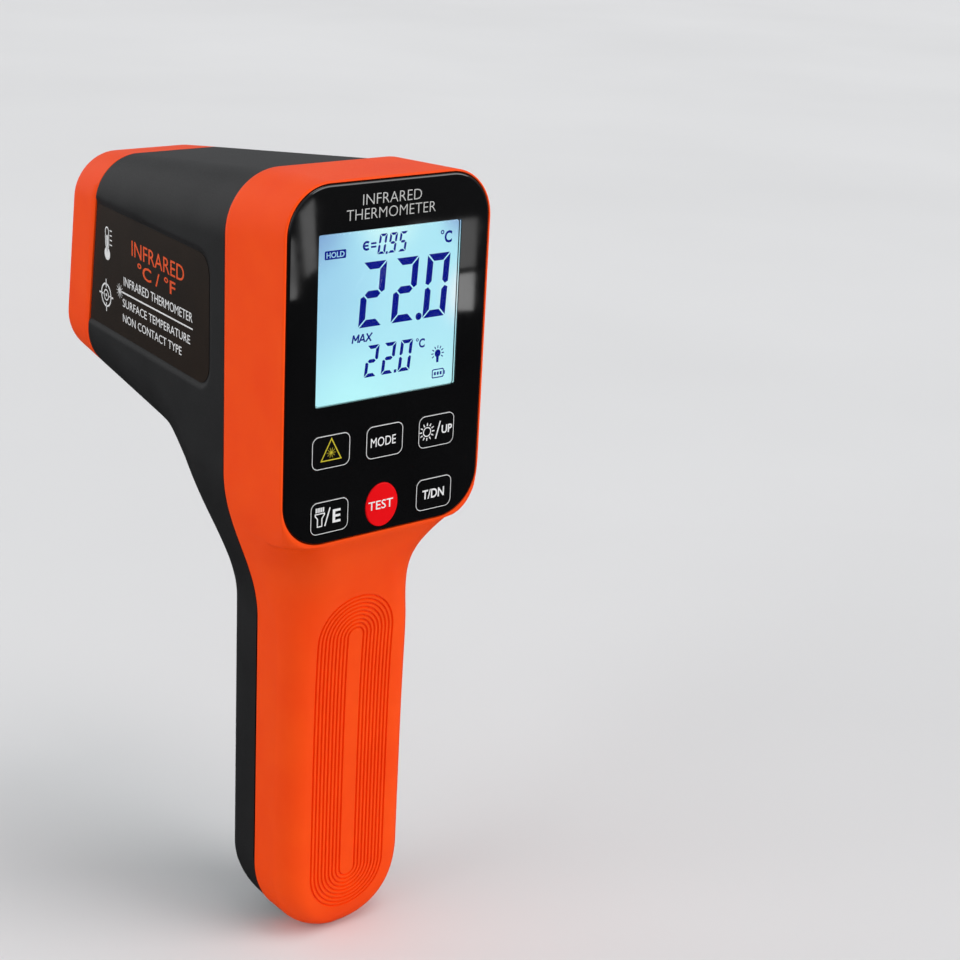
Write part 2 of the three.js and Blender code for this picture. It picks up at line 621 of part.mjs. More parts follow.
function makeNose() {
  const seat = noseFloor - gap;
  let ring = frontOuter.intersect(noseSlab(gap / 2, noseLength));
  ring = ring.subtract(frontBody(noseRim, partingY).intersect(noseSlab(seat)));
  ring = ring.subtract(frontBody(noseRim + 1.8, partingY).intersect(noseSlab(-2)));
  let spigot = frontBody(wall + gap, partingY).intersect(noseSlab(-6, 1));
  spigot = spigot.subtract(frontBody(noseRim + 1.8, partingY));
  add('nose_ring', ring.add(spigot), orangePlastic);

  let face = frontBody(noseRim + gap, partingY).intersect(noseSlab(noseFloor, noseFloor + 2));
  face = face.subtract(sightBar(0, noseLength, lensHeight, lensRadius + 1.8 + gap));
  for (const height of laserHeights) face = face.subtract(sightBar(0, noseLength, height, 2.3, 2.3, 20));
  face = face.subtract(sightBar(0, noseLength, torchHeight, 3.5, 3.5, 20));
  add('nose_plate', face, blackPlastic);

  const tube = sightBar(-34, noseFloor + 2.4, lensHeight, lensRadius + 1.8)
    .subtract(sightBar(-36, 1.7, lensHeight, lensRadius - 1))
    .subtract(sightBar(1.7, noseLength, lensHeight, lensRadius + gap));
  add('lens_tube', tube, blackPlastic);
  const crown = sightBar(4, 4.8, lensHeight, lensRadius - 1, lensRadius - 4);
  add('ir_lens', sightBar(2, 4.1, lensHeight, lensRadius).add(crown), clearPlastic);
  const retainer = sightBar(5.2, 7.4, lensHeight, lensRadius)
    .subtract(sightBar(5, 8, lensHeight, lensRadius - 1.4));
  add('lens_retainer', retainer, aluminium);

  const can = sightBar(-31, -26, lensHeight, 4.2).add(sightBar(-31, -30.3, lensHeight, 4.7));
  add('sensor_can', can, steel);
  const sensorBoard = new THREE.BoxGeometry(20, 1.6, 20);
  const boardPlace = new THREE.Matrix4().makeTranslation(0, -35.3, lensHeight);
  add('sensor_board', solid(sensorBoard, noseFrame.clone().multiply(boardPlace)), boardGreen);

  ['laser_module_upper', 'laser_module_lower'].forEach((name, i) => {
    const body = sightBar(-10, 5.9, laserHeights[i], 3, 3, 20);
    add(name, body.subtract(sightBar(3, 7, laserHeights[i], 1.6, 1.6, 16)), brass);
    const window = name.replace('module', 'window');
    add(window, sightBar(noseFloor + 0.5, noseFloor + 1.7, laserHeights[i], 2, 2, 20), clearPlastic);
  });
  add('torch_led', sightBar(-3, 3, torchHeight, 1.6, 1.6, 16), whitePlastic);
  const cup = sightBar(-1, 5.9, torchHeight, 2.6, 3.9, 20).subtract(sightBar(-2, 7, torchHeight, 2, 3.4, 20));
  add('torch_reflector', cup, aluminium);
  add('torch_window', sightBar(noseFloor + 0.5, noseFloor + 1.7, torchHeight, 3.2, 3.2, 20), clearPlastic);
}

// ---------- Trigger ----------

function triggerBlade() {
  const side = new THREE.Shape();
  side.moveTo(47.6, -46.4);
  side.lineTo(60.4, -46.4);
  side.quadraticCurveTo(60.2, -50.5, 57.4, -55);
  side.quadraticCurveTo(53.6, -62, 54.2, -71);
  side.quadraticCurveTo(54.6, -77, 52.2, -77);
  side.quadraticCurveTo(50, -77, 49.8, -71);
  side.lineTo(49.4, -58);
  return side;
}

function triggerArm() {
  const side = new THREE.Shape();
  side.absarc(triggerAxis.y, triggerAxis.z, 3.1, 0, Math.PI);
  side.lineTo(47.6, -48);
  side.lineTo(57, -48);
  return side;
}

function makeTrigger() {
  const blade = sidePlate(triggerBlade(), -triggerHalfWidth, triggerHalfWidth, 8);
  const arm = sidePlate(triggerArm(), -triggerArmHalfWidth, triggerArmHalfWidth, 8);
  add('trigger', blade.add(arm).subtract(crossBar(9, triggerAxis, 1.15, 16)), blackPlastic);
  add('trigger_pin', crossBar(9.3, triggerAxis, 1.05, 16), steel);
  const body = box(-6.9, 6.9, 37.8, 44, -54, -47);
  add('trigger_switch', body.add(bar([0, 43.5, -50.5], [0, 46.4, -50.5], 1, 1, 12)), chipBlack);
  makeTriggerSpring();
}

// A torsion spring round the pin, beside the arm, with one leg to the case and one along the arm.
class TorsionSpring extends THREE.Curve {
  getPoint(t) {
    const [turns, coil, leg] = [3, 2.1, 3.1];
    const legShare = 0.14;
    const along = clamp((t - legShare) / (1 - 2 * legShare), 0, 1);
    const angle = Math.PI * 2 * turns * along;
    const overrun = (Math.max(legShare - t, 0) - Math.max(t - 1 + legShare, 0)) / legShare;
    const x = mix(4.3, 6.6, along);
    const y = triggerAxis.y + coil * Math.cos(angle) + overrun * leg * Math.sin(angle);
    const z = triggerAxis.z + coil * Math.sin(angle) - overrun * leg * Math.cos(angle);
    return new THREE.Vector3(x, y, z);
  }
}

function makeTriggerSpring() {
  const wire = new THREE.Shape();
  wire.absarc(0, 0, 0.3, 0, Math.PI * 2);
  const extrudePath = new TorsionSpring();
  const coil = new THREE.ExtrudeGeometry(wire, { steps: 44, curveSegments: 3, extrudePath, bevelEnabled: false });
  add('trigger_spring', solid(coil), steel);
}

// ---------- Battery ----------

function makeBattery() {
  const jacket = new THREE.Shape();
  jacket.moveTo(-batteryHalfWidth, batteryRear);
  jacket.lineTo(batteryHalfWidth, batteryRear);
  jacket.lineTo(batteryHalfWidth, batteryFront);
  jacket.lineTo(-batteryHalfWidth, batteryFront);
  const tall = new THREE.ExtrudeGeometry(jacket, {
    depth: batteryTop - batteryBottom - 1.6,
    bevelSize: 0.8,
    bevelOffset: -0.8,
    bevelThickness: 0.8,
    bevelSegments: 2,
  });
  const middle = (batteryRear + batteryFront) / 2;
  let cell = solid(tall, new THREE.Matrix4().makeTranslation(0, 0, batteryBottom + 0.8));
  for (const [x, radius] of [[-6.3, 2.8], [6.3, 3.6]]) {
    cell = cell.add(bar([x, middle, batteryTop - 1], [x, middle, batteryTop + 2.4], radius, radius, 16));
  }
  add('battery', cell, batteryJacket);
  const snap = box(-12, 12, middle - 6, middle + 6, -95.8, -93);
  add('battery_snap', snap, rubber);
}

class Lead extends THREE.CatmullRomCurve3 {
  constructor(points) {
    super(points.map((point) => new THREE.Vector3(...point)));
  }
}

function makeLeads() {
  const wire = new THREE.Shape();
  wire.absarc(0, 0, 0.7, 0, Math.PI * 2);
  const run = (name, x, material) => {
    const extrudePath = new Lead([
      [x, 23, -92.6], [x * 1.2, 22, -89], [x * 1.5, 21, -82], [x * 1.5, 18, -66], [x * 1.4, 15, -52],
      [x * 1.2, 13.5, -44], [x, 10.8, -41],
    ]);
    const tube = new THREE.ExtrudeGeometry(wire, { steps: 18, curveSegments: 3, extrudePath, bevelEnabled: false });
    add(name, solid(tube), material);
  };
  run('battery_lead_red', 5, wireRed);
  run('battery_lead_black', -5, wireBlack);
}

function makeDoor() {
  const handleSkin = frontOuter.subtract(frontInner);
  let door = handleSkin.intersect(plate(doorOutline(0), 30, farOut / 2));
  door = door.add(crossBar(doorTongueHalfWidth - 0.3, doorAxis, 1.9, 20));
  door = door.subtract(crossBar(doorTongueHalfWidth + 1, doorAxis, 0.8, 16));
  for (const z of [-103, -106, -109]) {
    door = door.subtract(bar([-6, handleFrontY + 0.4, z], [6, handleFrontY + 0.4, z], 0.8, 0.8, 8));
  }
  add('battery_door', door, blackPlastic);
  add('door_pin', crossBar(12.3, doorAxis, 0.7, 12), steel);
}

// ---------- Assembly ----------

makeRearShell();
makeFrontShell();
makeNose();
makeDisplay();
makeKeys();
makeTrigger();
makeBattery();
makeLeads();
makeDoor();
makeScrews();
makeLabels();

// The tool stands on the origin, in the middle of its own box.
const bounds = new THREE.Box3().setFromObject(tool);
const centre = bounds.getCenter(new THREE.Vector3());
tool.position.set(0, -centre.y, -bounds.min.z);

const thermometer = new THREE.Group();
thermometer.add(tool);

export default thermometer;
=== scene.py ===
import json
import math

import bmesh
import bpy
import numpy as np
from mathutils import Matrix, Vector


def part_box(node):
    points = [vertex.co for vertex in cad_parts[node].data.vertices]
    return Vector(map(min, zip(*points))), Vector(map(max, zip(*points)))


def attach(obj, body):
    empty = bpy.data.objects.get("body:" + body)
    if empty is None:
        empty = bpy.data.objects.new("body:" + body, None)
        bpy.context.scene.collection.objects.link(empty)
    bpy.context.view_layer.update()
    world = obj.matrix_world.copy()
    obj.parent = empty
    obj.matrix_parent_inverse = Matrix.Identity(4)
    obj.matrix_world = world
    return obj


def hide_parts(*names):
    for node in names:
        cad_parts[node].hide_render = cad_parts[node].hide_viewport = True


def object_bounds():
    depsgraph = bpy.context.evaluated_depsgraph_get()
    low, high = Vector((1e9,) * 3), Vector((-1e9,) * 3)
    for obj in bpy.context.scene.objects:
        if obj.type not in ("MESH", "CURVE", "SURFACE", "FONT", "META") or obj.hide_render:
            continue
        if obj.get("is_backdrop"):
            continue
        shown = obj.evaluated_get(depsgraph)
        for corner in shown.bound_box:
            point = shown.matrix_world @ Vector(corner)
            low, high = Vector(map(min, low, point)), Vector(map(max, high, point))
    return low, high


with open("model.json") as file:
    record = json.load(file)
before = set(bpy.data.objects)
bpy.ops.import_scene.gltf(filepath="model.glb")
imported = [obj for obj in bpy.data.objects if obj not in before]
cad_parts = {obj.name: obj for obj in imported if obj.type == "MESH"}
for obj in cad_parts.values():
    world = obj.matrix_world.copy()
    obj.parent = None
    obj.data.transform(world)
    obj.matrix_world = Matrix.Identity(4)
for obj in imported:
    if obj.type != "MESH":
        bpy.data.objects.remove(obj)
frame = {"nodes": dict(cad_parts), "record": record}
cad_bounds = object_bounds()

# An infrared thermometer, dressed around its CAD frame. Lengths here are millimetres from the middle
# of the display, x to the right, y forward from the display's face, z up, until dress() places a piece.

window_low, window_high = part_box("display_window")
ORIGIN = np.array([0, window_low.y + 0.0003, (window_low.z + window_high.z) / 2])

# ---------- Dimensions ----------

GAP = 0.3
WALL = 2.2
SEAM = 0.3  # rounding of the two shells' edges where they meet
PRINT_HEIGHT = 0.03
AXIS_RADIUS = 0.01  # a turned body's end at its axis is a tiny ring, not a point
PARTING_Y = 23.2
HEAD_HALF, HEAD_TOP, HEAD_SLOPE, HEAD_CORNER = 29, 31.2, 0.04, 14
FACE_HALF, FACE_CORNER, FACE_BOTTOM, FACE_BOTTOM_CORNER = 28.6, 12, -53.4, 11.9
NECK_TOP, NECK_BOTTOM = -39.4, -79.4
HANDLE_HALF, HANDLE_REAR_Y, HANDLE_FRONT_Y = 19.1, 9.6, 39.5
HANDLE_EDGE, HANDLE_REAR_EDGE = 10, 6.5
NECK_RELAX = 13
SWELL_RADIUS, SWELL_Z, SWELL_SPREAD = 7.3, -64, 12
TIP_TOP, TIP_LENGTH, TIP_WIDTH_POWER, TIP_DEPTH_POWER, TIP_LOW_Y = -145.6, 20.2, 2.1, 3.5, 19.7
TIP_RISE, TIP_RISE_LENGTH = 0.09, 8
BARREL_TOP, BARREL_SLOPE, BARREL_STEP, SIDE_TAPER = 29.4, 0.117, 0.2, 0.0952
KNEE_Y, KNEE_Z, UNDERSIDE_SLOPE = 62, -43.9, 0.12
PROFILE_REACH = 63  # how far the side profile runs forward of the knee, past the nose
NECK_FRONT_BOTTOM, NECK_FRONT_POWER = -78, 1.5
TOP_EDGE_REAR, TOP_EDGE_NOSE, LOWER_EDGE = 14, 11, 15
BARREL_END_Y = 108
NOSE_LEAN, NOSE_Y, NOSE_Z, NOSE_RIM = 0.1733, 97.9, -9.5, 2.8
PANEL_HALF, PANEL_TOP, PANEL_BOTTOM, PANEL_CORNER = 27.75, 30.5, -52.5, 11
PANEL_FACE_Y, PANEL_BACK_Y, POCKET_Y, FACE_WALL_Y = -0.3, 1.2, 1.5, 3.5
WINDOW_HALF = (19.8, 19.6)
KEY_HALF = (5.4, 4.1)
TEST_RADII = (4.65, 5.4)
DOOR_AXIS = (37.3, -149)
TRIGGER_AXIS = (50.5, -42.5)
SCREW_ROWS = (-84, -157.5)
POST_RADIUS, SHANK_HOLE, HEAD_HOLE = 3.6, 1.6, 3
TRIGGER_PIN_HOLE, DOOR_PIN_HOLE = 1.15, 0.8
BATTERY = {"half": 13.25, "rear": 18, "front": 35.5, "bottom": -145.5, "band": -112, "top": -98.5}
LENS_HEIGHT, LENS_RADIUS = 3, 9.2
NOSE_FLOOR, TORCH_HEIGHT = 6.5, -21
NOSE_WINDOWS = [("laser_window_upper", 19.2, 2), ("laser_window_lower", -13.4, 2),
                ("torch_window", TORCH_HEIGHT, 3.2)]
GROOVES = {"count": 9, "first": 2.3, "pitch": 1.09, "top": -83, "bottom": -147.5, "half": 0.29, "depth": 0.5}
CAMERA_AT = (-257.2, -338.4, 111.4)
LABEL = {"rear": 31.5, "bottom": -22, "top": 9.3, "corner": 5, "lip": 1.3, "depth": 0.5}
LABEL_BACK, LABEL_FACE = 0.48, 0.37  # how far inside the barrel's own side the film's two faces lie
LABEL_GAP = 0.12

# ---------- Mesh tools ----------


def link(name, mesh):
    made = bpy.data.objects.new(name, mesh)
    bpy.context.scene.collection.objects.link(made)
    return made


def solid(points, faces):
    """A closed body whose faces look outward."""
    mesh = bpy.data.meshes.new("solid")
    mesh.from_pydata(np.asarray(points, float).reshape(-1, 3).tolist(), [], faces)
    work = bmesh.new()
    work.from_mesh(mesh)
    if work.calc_volume(signed=True) < 0:
        bmesh.ops.reverse_faces(work, faces=work.faces)
    work.to_mesh(mesh)
    work.free()
    return link("solid", mesh)


def loft(rings, wrap=False):
    """A body through rings of equally many points; wrap joins the last ring to the first."""
    rings = np.asarray(rings, float)
    count, size = rings.shape[:2]
    faces = []
    for i in range(count if wrap else count - 1):
        low, high = i * size, ((i + 1) % count) * size
        for j in range(size):
            k = (j + 1) % size
            faces.append((low + j, low + k, high + k, high + j))
    if not wrap:
        faces.append(tuple(range(size))[::-1])
        faces.append(tuple(range((count - 1) * size, count * size)))
    return solid(rings, faces)


def shell(half, fold):
    """A body from level slices given by their right halves; its two ends close in strips up to fold."""
    rows, size = half.shape[:2]
    mirrored = (half * [-1, 1, 1])[:, ::-1]
    points = np.concatenate([half, mirrored], axis=1)
    ring = 2 * size
    faces = []
    for i in range(rows - 1):
        for j in range(ring):
            k = (j + 1) % ring
            faces.append((i * ring + j, i * ring + k, (i + 1) * ring + k, (i + 1) * ring + j))
    for base, turned in ((0, True), ((rows - 1) * ring, False)):
        strips = [(i, i + 1, ring - 2 - i, ring - 1 - i) for i in range(fold)]
        strips.append(tuple(range(fold, ring - fold)))
        for strip in strips:
            face = tuple(base + i for i in strip)
            faces.append(face[::-1] if turned else face)
    return solid(points, faces)


def ring_at(outline, value, axis=1):
    """A flat outline as points in space, at one value along an axis."""
    return np.insert(np.asarray(outline, float), axis, value, axis=1)


def prism(outline, low, high, axis=1):
    """A flat outline made solid along an axis: outlines are (x, z) along y, or (y, z) along x."""
    return loft([ring_at(outline, value, axis) for value in (low, high)])


def block(x, y, z):
    return prism([(x[0], z[0]), (x[1], z[0]), (x[1], z[1]), (x[0], z[1])], *y)


def revolve(profile, start, along, sides=64, wrap=False):
    """A body turned about a line: the profile gives (distance along, radius)."""
    along = Vector(along).normalized()
    across = along.orthogonal().normalized()
    other = along.cross(across)
    angles = np.linspace(0, 2 * np.pi, sides, endpoint=False)
    spokes = np.outer(np.cos(angles), across) + np.outer(np.sin(angles), other)
    rings = [np.array(start) + np.array(along) * d + spokes * max(r, AXIS_RADIUS) for d, r in profile]
    return loft(rings, wrap)


def bar(start, end, radius, sides=48):
    length = (Vector(end) - Vector(start)).length
    return revolve([(0, radius), (length, radius)], start, Vector(end) - Vector(start), sides)


def cross_bar(half, centre, radius):
    return bar((-half, *centre), (half, *centre), radius, 32)


def evaluated_mesh(base):
    return bpy.data.meshes.new_from_object(base.evaluated_get(bpy.context.evaluated_depsgraph_get()))


def apply(base):
    mesh = evaluated_mesh(base)
    base.modifiers.clear()
    base.data = mesh
    return base


def combine(base, others, operation):
    for other in others:
        modifier = base.modifiers.new("combine", "BOOLEAN")
        modifier.operation = operation
        modifier.solver = "MANIFOLD"
        modifier.object = other
        apply(base)
        bpy.data.objects.remove(other)
    return base


def join(first, *others):
    return combine(first, others, "UNION")


def cut(base, *others):
    return combine(base, others, "DIFFERENCE")


def keep(base, other):
    return combine(base, [other], "INTERSECT")


def copy(base):
    return link(base.name, base.data.copy())


def bevel(base, width, segments, angle):
    modifier = base.modifiers.new("bevel", "BEVEL")
    modifier.width, modifier.segments = width, segments
    modifier.limit_method, modifier.angle_limit = "ANGLE", math.radians(angle)
    return apply(base)


def quarter(x, z, radius, start, steps):
    """Points on a quarter turn about a centre, from a start angle in degrees."""
    angles = [math.radians(start + 90 * step / steps) for step in range(steps + 1)]
    return [(x + radius * math.cos(angle), z + radius * math.sin(angle)) for angle in angles]


def rounded(half, bottom, top, radius, steps):
    """The four corners of a rounded rectangle in x and z."""
    x, low, high = half - radius, bottom + radius, top - radius
    return [point for side, z, start in ((1, low, -90), (1, high, 0), (-1, high, 90), (-1, low, 180))
            for point in quarter(side * x, z, radius, start, steps)]


def rectangle(half, bottom, top, radius, steps=12):
    return np.array(rounded(half, bottom, top, radius, steps))


def ellipse(a, b, sides):
    angle = np.linspace(0, 2 * np.pi, sides, endpoint=False)
    return np.stack([a * np.cos(angle), b * np.sin(angle)], axis=1)


def at(outline, centre):
    return np.asarray(outline) + centre


def circle(radius, centre, sides):
    return at(ellipse(radius, radius, sides), centre)


# ---------- The shape of the case ----------


def mix(a, b, t):
    return a + (b - a) * t


def smoothstep(value, low, high):
    t = np.clip((value - low) / (high - low), 0, 1)
    return t * t * (3 - 2 * t)


def tip_scale(level, power, inset=0):
    t = np.clip((TIP_TOP - level) / (TIP_LENGTH - inset), 0, 1)
    return (1 - t ** power) ** (1 / power)


def tip_shift(y, level):
    return TIP_RISE * (y - TIP_LOW_Y) * np.clip((TIP_TOP - level) / TIP_RISE_LENGTH, 0, 1)


def case_half_width(level, inset=0):
    u = np.clip((NECK_TOP - level) / (NECK_TOP - NECK_BOTTOM), 0, 1)
    body = mix(HEAD_HALF, HANDLE_HALF, (1 - np.cos(np.pi * u)) / 2) - inset
    return np.where(level < TIP_TOP, (HANDLE_HALF - inset) * tip_scale(level, TIP_WIDTH_POWER, inset), body)


def cornered(half_width, level, top, radius, inset):
    rise = np.maximum(level - (top - radius), 0)
    narrowed = half_width + inset - radius + np.sqrt(np.maximum((radius - inset) ** 2 - rise ** 2, 0))
    return np.where(rise > 0, narrowed, half_width)


def heights(middle, top, radius, inset, tip_steps, crown_steps):
    tip = TIP_TOP - (TIP_LENGTH - inset) * np.cos(np.asarray(tip_steps) * np.pi / 2)
    crown = top - radius + (radius - inset) * np.sin(np.linspace(0, np.pi / 2, crown_steps))
    return np.concatenate([tip, middle, crown])


FINE_TIP = [0.004, 0.012, 0.03, 0.055, *np.linspace(0.09, 1, 24)]
COARSE_TIP = [0.05, 0.22, 0.42, 0.64, 0.86, 1]


def spaced(*runs):
    """Heights from one stop to the next, at each run's own spacing."""
    parts = [np.arange(low, high - step * 0.4, step) for low, high, step in runs]
    return np.concatenate(parts)


def rear_depth(level, inset):
    relaxed = HANDLE_REAR_Y * (1 - np.exp(np.minimum(level - FACE_BOTTOM, 0) / NECK_RELAX))
    if inset:
        relaxed = np.maximum(relaxed + inset, FACE_WALL_Y)
    tip = mix(TIP_LOW_Y, HANDLE_REAR_Y + inset, tip_scale(level, TIP_DEPTH_POWER, inset))
    face = FACE_WALL_Y if inset else 0
    return np.where(level > FACE_BOTTOM, face, np.where(level < TIP_TOP, tip, relaxed))


def turn_of(level, top, radius, inset=0):
    """How far round an upper corner a level is."""
    return np.arcsin(np.clip((level - (top - radius)) / (radius - inset), 0, 1))


def rear_slices(levels, inset, end_y):
    level = levels[:, None]
    outer = cornered(case_half_width(level, inset), level, HEAD_TOP, HEAD_CORNER, inset)
    side = case_half_width(level, inset) - (HEAD_HALF - FACE_HALF)
    side = cornered(side, level, HEAD_TOP, FACE_CORNER, inset)
    depth = rear_depth(level, inset)
    edge = HANDLE_REAR_EDGE + SWELL_RADIUS * np.exp(-((level - SWELL_Z) / SWELL_SPREAD) ** 2) - inset
    edge = np.minimum(edge, 0.9 * side)
    edge = np.where(level < TIP_TOP, np.minimum(edge, 0.9 * (TIP_LOW_Y - depth)), edge)
    drop = np.clip(FACE_BOTTOM + FACE_BOTTOM_CORNER - level, 0, FACE_BOTTOM_CORNER)
    flat = FACE_HALF - FACE_BOTTOM_CORNER + np.sqrt(FACE_BOTTOM_CORNER ** 2 - drop ** 2)
    edge = np.where(level > FACE_BOTTOM, np.maximum(side - flat + inset, 0.4), edge)
    turn = turn_of(level, HEAD_TOP, FACE_CORNER, inset)
    seam_turn = turn_of(level, HEAD_TOP, HEAD_CORNER, inset)
    columns = []
    for pull, back in (() if inset else ((SEAM, 0), (0.3 * SEAM, 0.1), (0, SEAM))):
        columns.append((outer - pull * np.cos(seam_turn), end_y - back + 0 * level,
                        level - pull * np.sin(seam_turn)))
    for share in (0, 0.5) if inset else (0.06, 0.3, 0.6, 0.85, 0.97):
        columns.append((mix(outer, side, share), mix(end_y, depth + edge, share), level + 0 * side))
    for angle in np.linspace(0, np.pi / 2, 6 if inset else 17):
        pull = edge * (1 - math.cos(angle))
        columns.append((side - pull * np.cos(turn), depth + edge * (1 - math.sin(angle)),
                        level - pull * np.sin(turn)))
    for share in (0.5,) if inset else (0.98, 0.87, 0.72, 0.56, 0.4, 0.24, 0.08):
        columns.append(((side - edge * np.cos(turn)) * share, depth, level - edge * np.sin(turn)))
    grid = np.stack([np.concatenate(np.broadcast_arrays(*column), axis=1) for column in columns], axis=1)
    y = grid[..., 1]
    ramp = smoothstep(level, 0, HEAD_TOP - HEAD_CORNER)
    grid[..., 2] += tip_shift(y, level) - HEAD_SLOPE * y * ramp
    return grid


def rear_body(inset, end_y):
    if inset:
        middle = np.array([-100, -84, -76, -70, -65, -61, -58, -55.5, -53.6, -53.2, -52, -50, -47, -42])
        levels = heights(middle, HEAD_TOP, HEAD_CORNER, inset, COARSE_TIP, 6)
        return shell(rear_slices(levels, inset, end_y), 7)
    middle = spaced((-145, -100, 2.5), (-100, -53.6, 0.8), (-53.55, -39, 0.5), (-39, 16.5, 3))
    levels = heights(middle, HEAD_TOP, HEAD_CORNER, 0, FINE_TIP, 24)
    return shell(rear_slices(levels, 0, end_y), 23)


def front_depth(level):
    tip = mix(TIP_LOW_Y, HANDLE_FRONT_Y, tip_scale(level, TIP_DEPTH_POWER))
    u = np.clip((level - NECK_FRONT_BOTTOM) / (KNEE_Z - NECK_FRONT_BOTTOM), 0, 1)
    sweep = 1 - (1 - u ** NECK_FRONT_POWER) ** (1 / NECK_FRONT_POWER)
    neck = mix(HANDLE_FRONT_Y, KNEE_Y, sweep)
    under = np.minimum(KNEE_Y + (level - KNEE_Z) / UNDERSIDE_SLOPE, BARREL_END_Y)
    lower = np.where(level < TIP_TOP, tip, np.where(level < NECK_FRONT_BOTTOM, HANDLE_FRONT_Y, neck))
    return np.where(level < KNEE_Z, lower, under)


neck_z = np.linspace(NECK_FRONT_BOTTOM, KNEE_Z, 40)
profile_z = np.array([TIP_TOP, *neck_z, KNEE_Z + UNDERSIDE_SLOPE * PROFILE_REACH])
profile_y = np.array([HANDLE_FRONT_Y, *front_depth(neck_z), KNEE_Y + PROFILE_REACH])


def distance_to_profile(y, z):
    """Distance, in the side view, to the underside and front of the case."""
    y, z = np.broadcast_arrays(y, z)
    dy, dz = np.diff(profile_y), np.diff(profile_z)
    from_y, from_z = y[..., None] - profile_y[:-1], z[..., None] - profile_z[:-1]
    t = np.clip((from_y * dy + from_z * dz) / (dy ** 2 + dz ** 2), 0, 1)
    near = np.sqrt(((from_y - t * dy) ** 2 + (from_z - t * dz) ** 2).min(axis=-1))
    return np.where(z < TIP_TOP, front_depth(z) - y, near)


def edge_radius(y, level):
    along = np.clip((y - PARTING_Y) / (NOSE_Y - PARTING_Y), 0, 1)
    upper = mix(TOP_EDGE_REAR, TOP_EDGE_NOSE, along)
    down = np.clip((KNEE_Z - level) / (KNEE_Z - NECK_FRONT_BOTTOM), 0, 1)
    lower = np.where(level > NOSE_Z, upper, mix(LOWER_EDGE, HANDLE_EDGE, down))
    return np.where(level < NECK_FRONT_BOTTOM, HANDLE_EDGE, lower)


def front_half_width(y, level, inset):
    reach = np.clip((level - NECK_FRONT_BOTTOM) / (KNEE_Z - NECK_FRONT_BOTTOM), 0, 1)
    flat = case_half_width(level) - BARREL_STEP - SIDE_TAPER * reach * (y - PARTING_Y) - inset
    to_edge = np.minimum(BARREL_TOP - level, distance_to_profile(y, level)) - inset
    radius = np.minimum(np.maximum(edge_radius(y, level) - inset, 0.8), 0.9 * flat)
    into = np.maximum(radius - np.maximum(to_edge, 0), 0)
    return flat - radius + np.sqrt(np.maximum(radius ** 2 - into ** 2, 0))


def depth_at_distance(level, distance):
    far = front_depth(level)
    near = np.full_like(far, PARTING_Y)
    whole = far.copy()
    for _ in range(24):
        middle = (near + whole) / 2
        inside = distance_to_profile(middle, level) > distance
        near, whole = np.where(inside, middle, near), np.where(inside, whole, middle)
    return np.where((distance_to_profile(far, level) > distance) | (distance == 0), far, near)


def barrel_z(y, level):
    ramp = smoothstep(level, 0, BARREL_TOP - TOP_EDGE_REAR)
    return level - BARREL_SLOPE * (y - PARTING_Y) * ramp + tip_shift(y, level)


def front_slices(levels, inset, start_y, contours, along):
    reach = np.maximum(depth_at_distance(levels, inset), start_y + 0.05)
    near = []
    for i, contour in enumerate(contours):
        share = (depth_at_distance(levels, contour + inset) - start_y) / (reach - start_y)
        least, most = 0.004 * (i + 1), 1 - 0.004 * (len(contours) - 1 - i)
        near.append(np.clip(share, least, most))
    even = [near[0] * step / along for step in range(along)]
    shares = np.stack(even + near, axis=1)
    level = levels[:, None]
    y = mix(start_y, reach[:, None], shares)
    z = barrel_z(y, level)
    x = front_half_width(y, level, inset)
    if not inset:
        x = x - LABEL["depth"] * smoothstep(inside_label(y, z), -LABEL["lip"], 0)
    grid = np.stack([x, y, z], axis=2)
    if inset:
        return grid
    turn = turn_of(levels, BARREL_TOP, TOP_EDGE_REAR)[:, None]
    rims = []
    for pull, back in ((SEAM, 0), (0.3 * SEAM, 0.1)):
        rim = grid[:, :1].copy()
        rim[..., 0] -= pull * np.cos(turn)
        rim[..., 1] += back
        rim[..., 2] -= pull * np.sin(turn)
        rims.append(rim)
    grid[:, 0, 1] += SEAM
    return np.concatenate([*rims, grid], axis=1)


def inside_label(y, z):
    """Signed distance into the label's outline, which runs on past the nose."""
    middle, half = (LABEL["bottom"] + LABEL["top"]) / 2, (LABEL["top"] - LABEL["bottom"]) / 2
    across = np.abs(z - middle) - (half - LABEL["corner"])
    along = LABEL["rear"] + LABEL["corner"] - y
    corner = np.hypot(np.maximum(across, 0), np.maximum(along, 0))
    return LABEL["corner"] - corner - np.minimum(np.maximum(across, along), 0)


FINE_CONTOURS = [15, 13.2, 11.6, 10.1, 8.7, 7.4, 6.2, 5.1, 4.1, 3.2, 2.4, 1.7, 1.1, 0.65, 0.3, 0.1, 0]
COARSE_CONTOURS = [15, 9.5, 5.5, 2.6, 0.7, 0]


def front_body(inset, start_y):
    if inset:
        middle = np.array([-100, -79, -74, -69, -64, -59, -54.5, -51, -48, -46, -44.6, -43.2, -39.5,
                           -37, -34, -30, -24, -8, 6])
        levels = heights(middle, BARREL_TOP, TOP_EDGE_REAR, inset, COARSE_TIP, 6)
        return shell(front_slices(levels, inset, start_y, COARSE_CONTOURS, 1), 5)
    middle = spaced((-145, -79, 3), (-78, -46, 0.9), (-46, -38.2, 0.26), (-38.2, -26, 0.9),
                    (-26, 14, 0.55), (14, 15.3, 0.5))
    levels = heights(middle, BARREL_TOP, TOP_EDGE_REAR, 0, FINE_TIP, 26)
    slices = front_slices(levels, 0, start_y, FINE_CONTOURS, 120)
    return shell(slices, slices.shape[1] - 2)


# ---------- The nose ----------

LEAN = np.array([[1, 0, 0], [0, math.cos(NOSE_LEAN), -math.sin(NOSE_LEAN)],
                 [0, math.sin(NOSE_LEAN), math.cos(NOSE_LEAN)]])


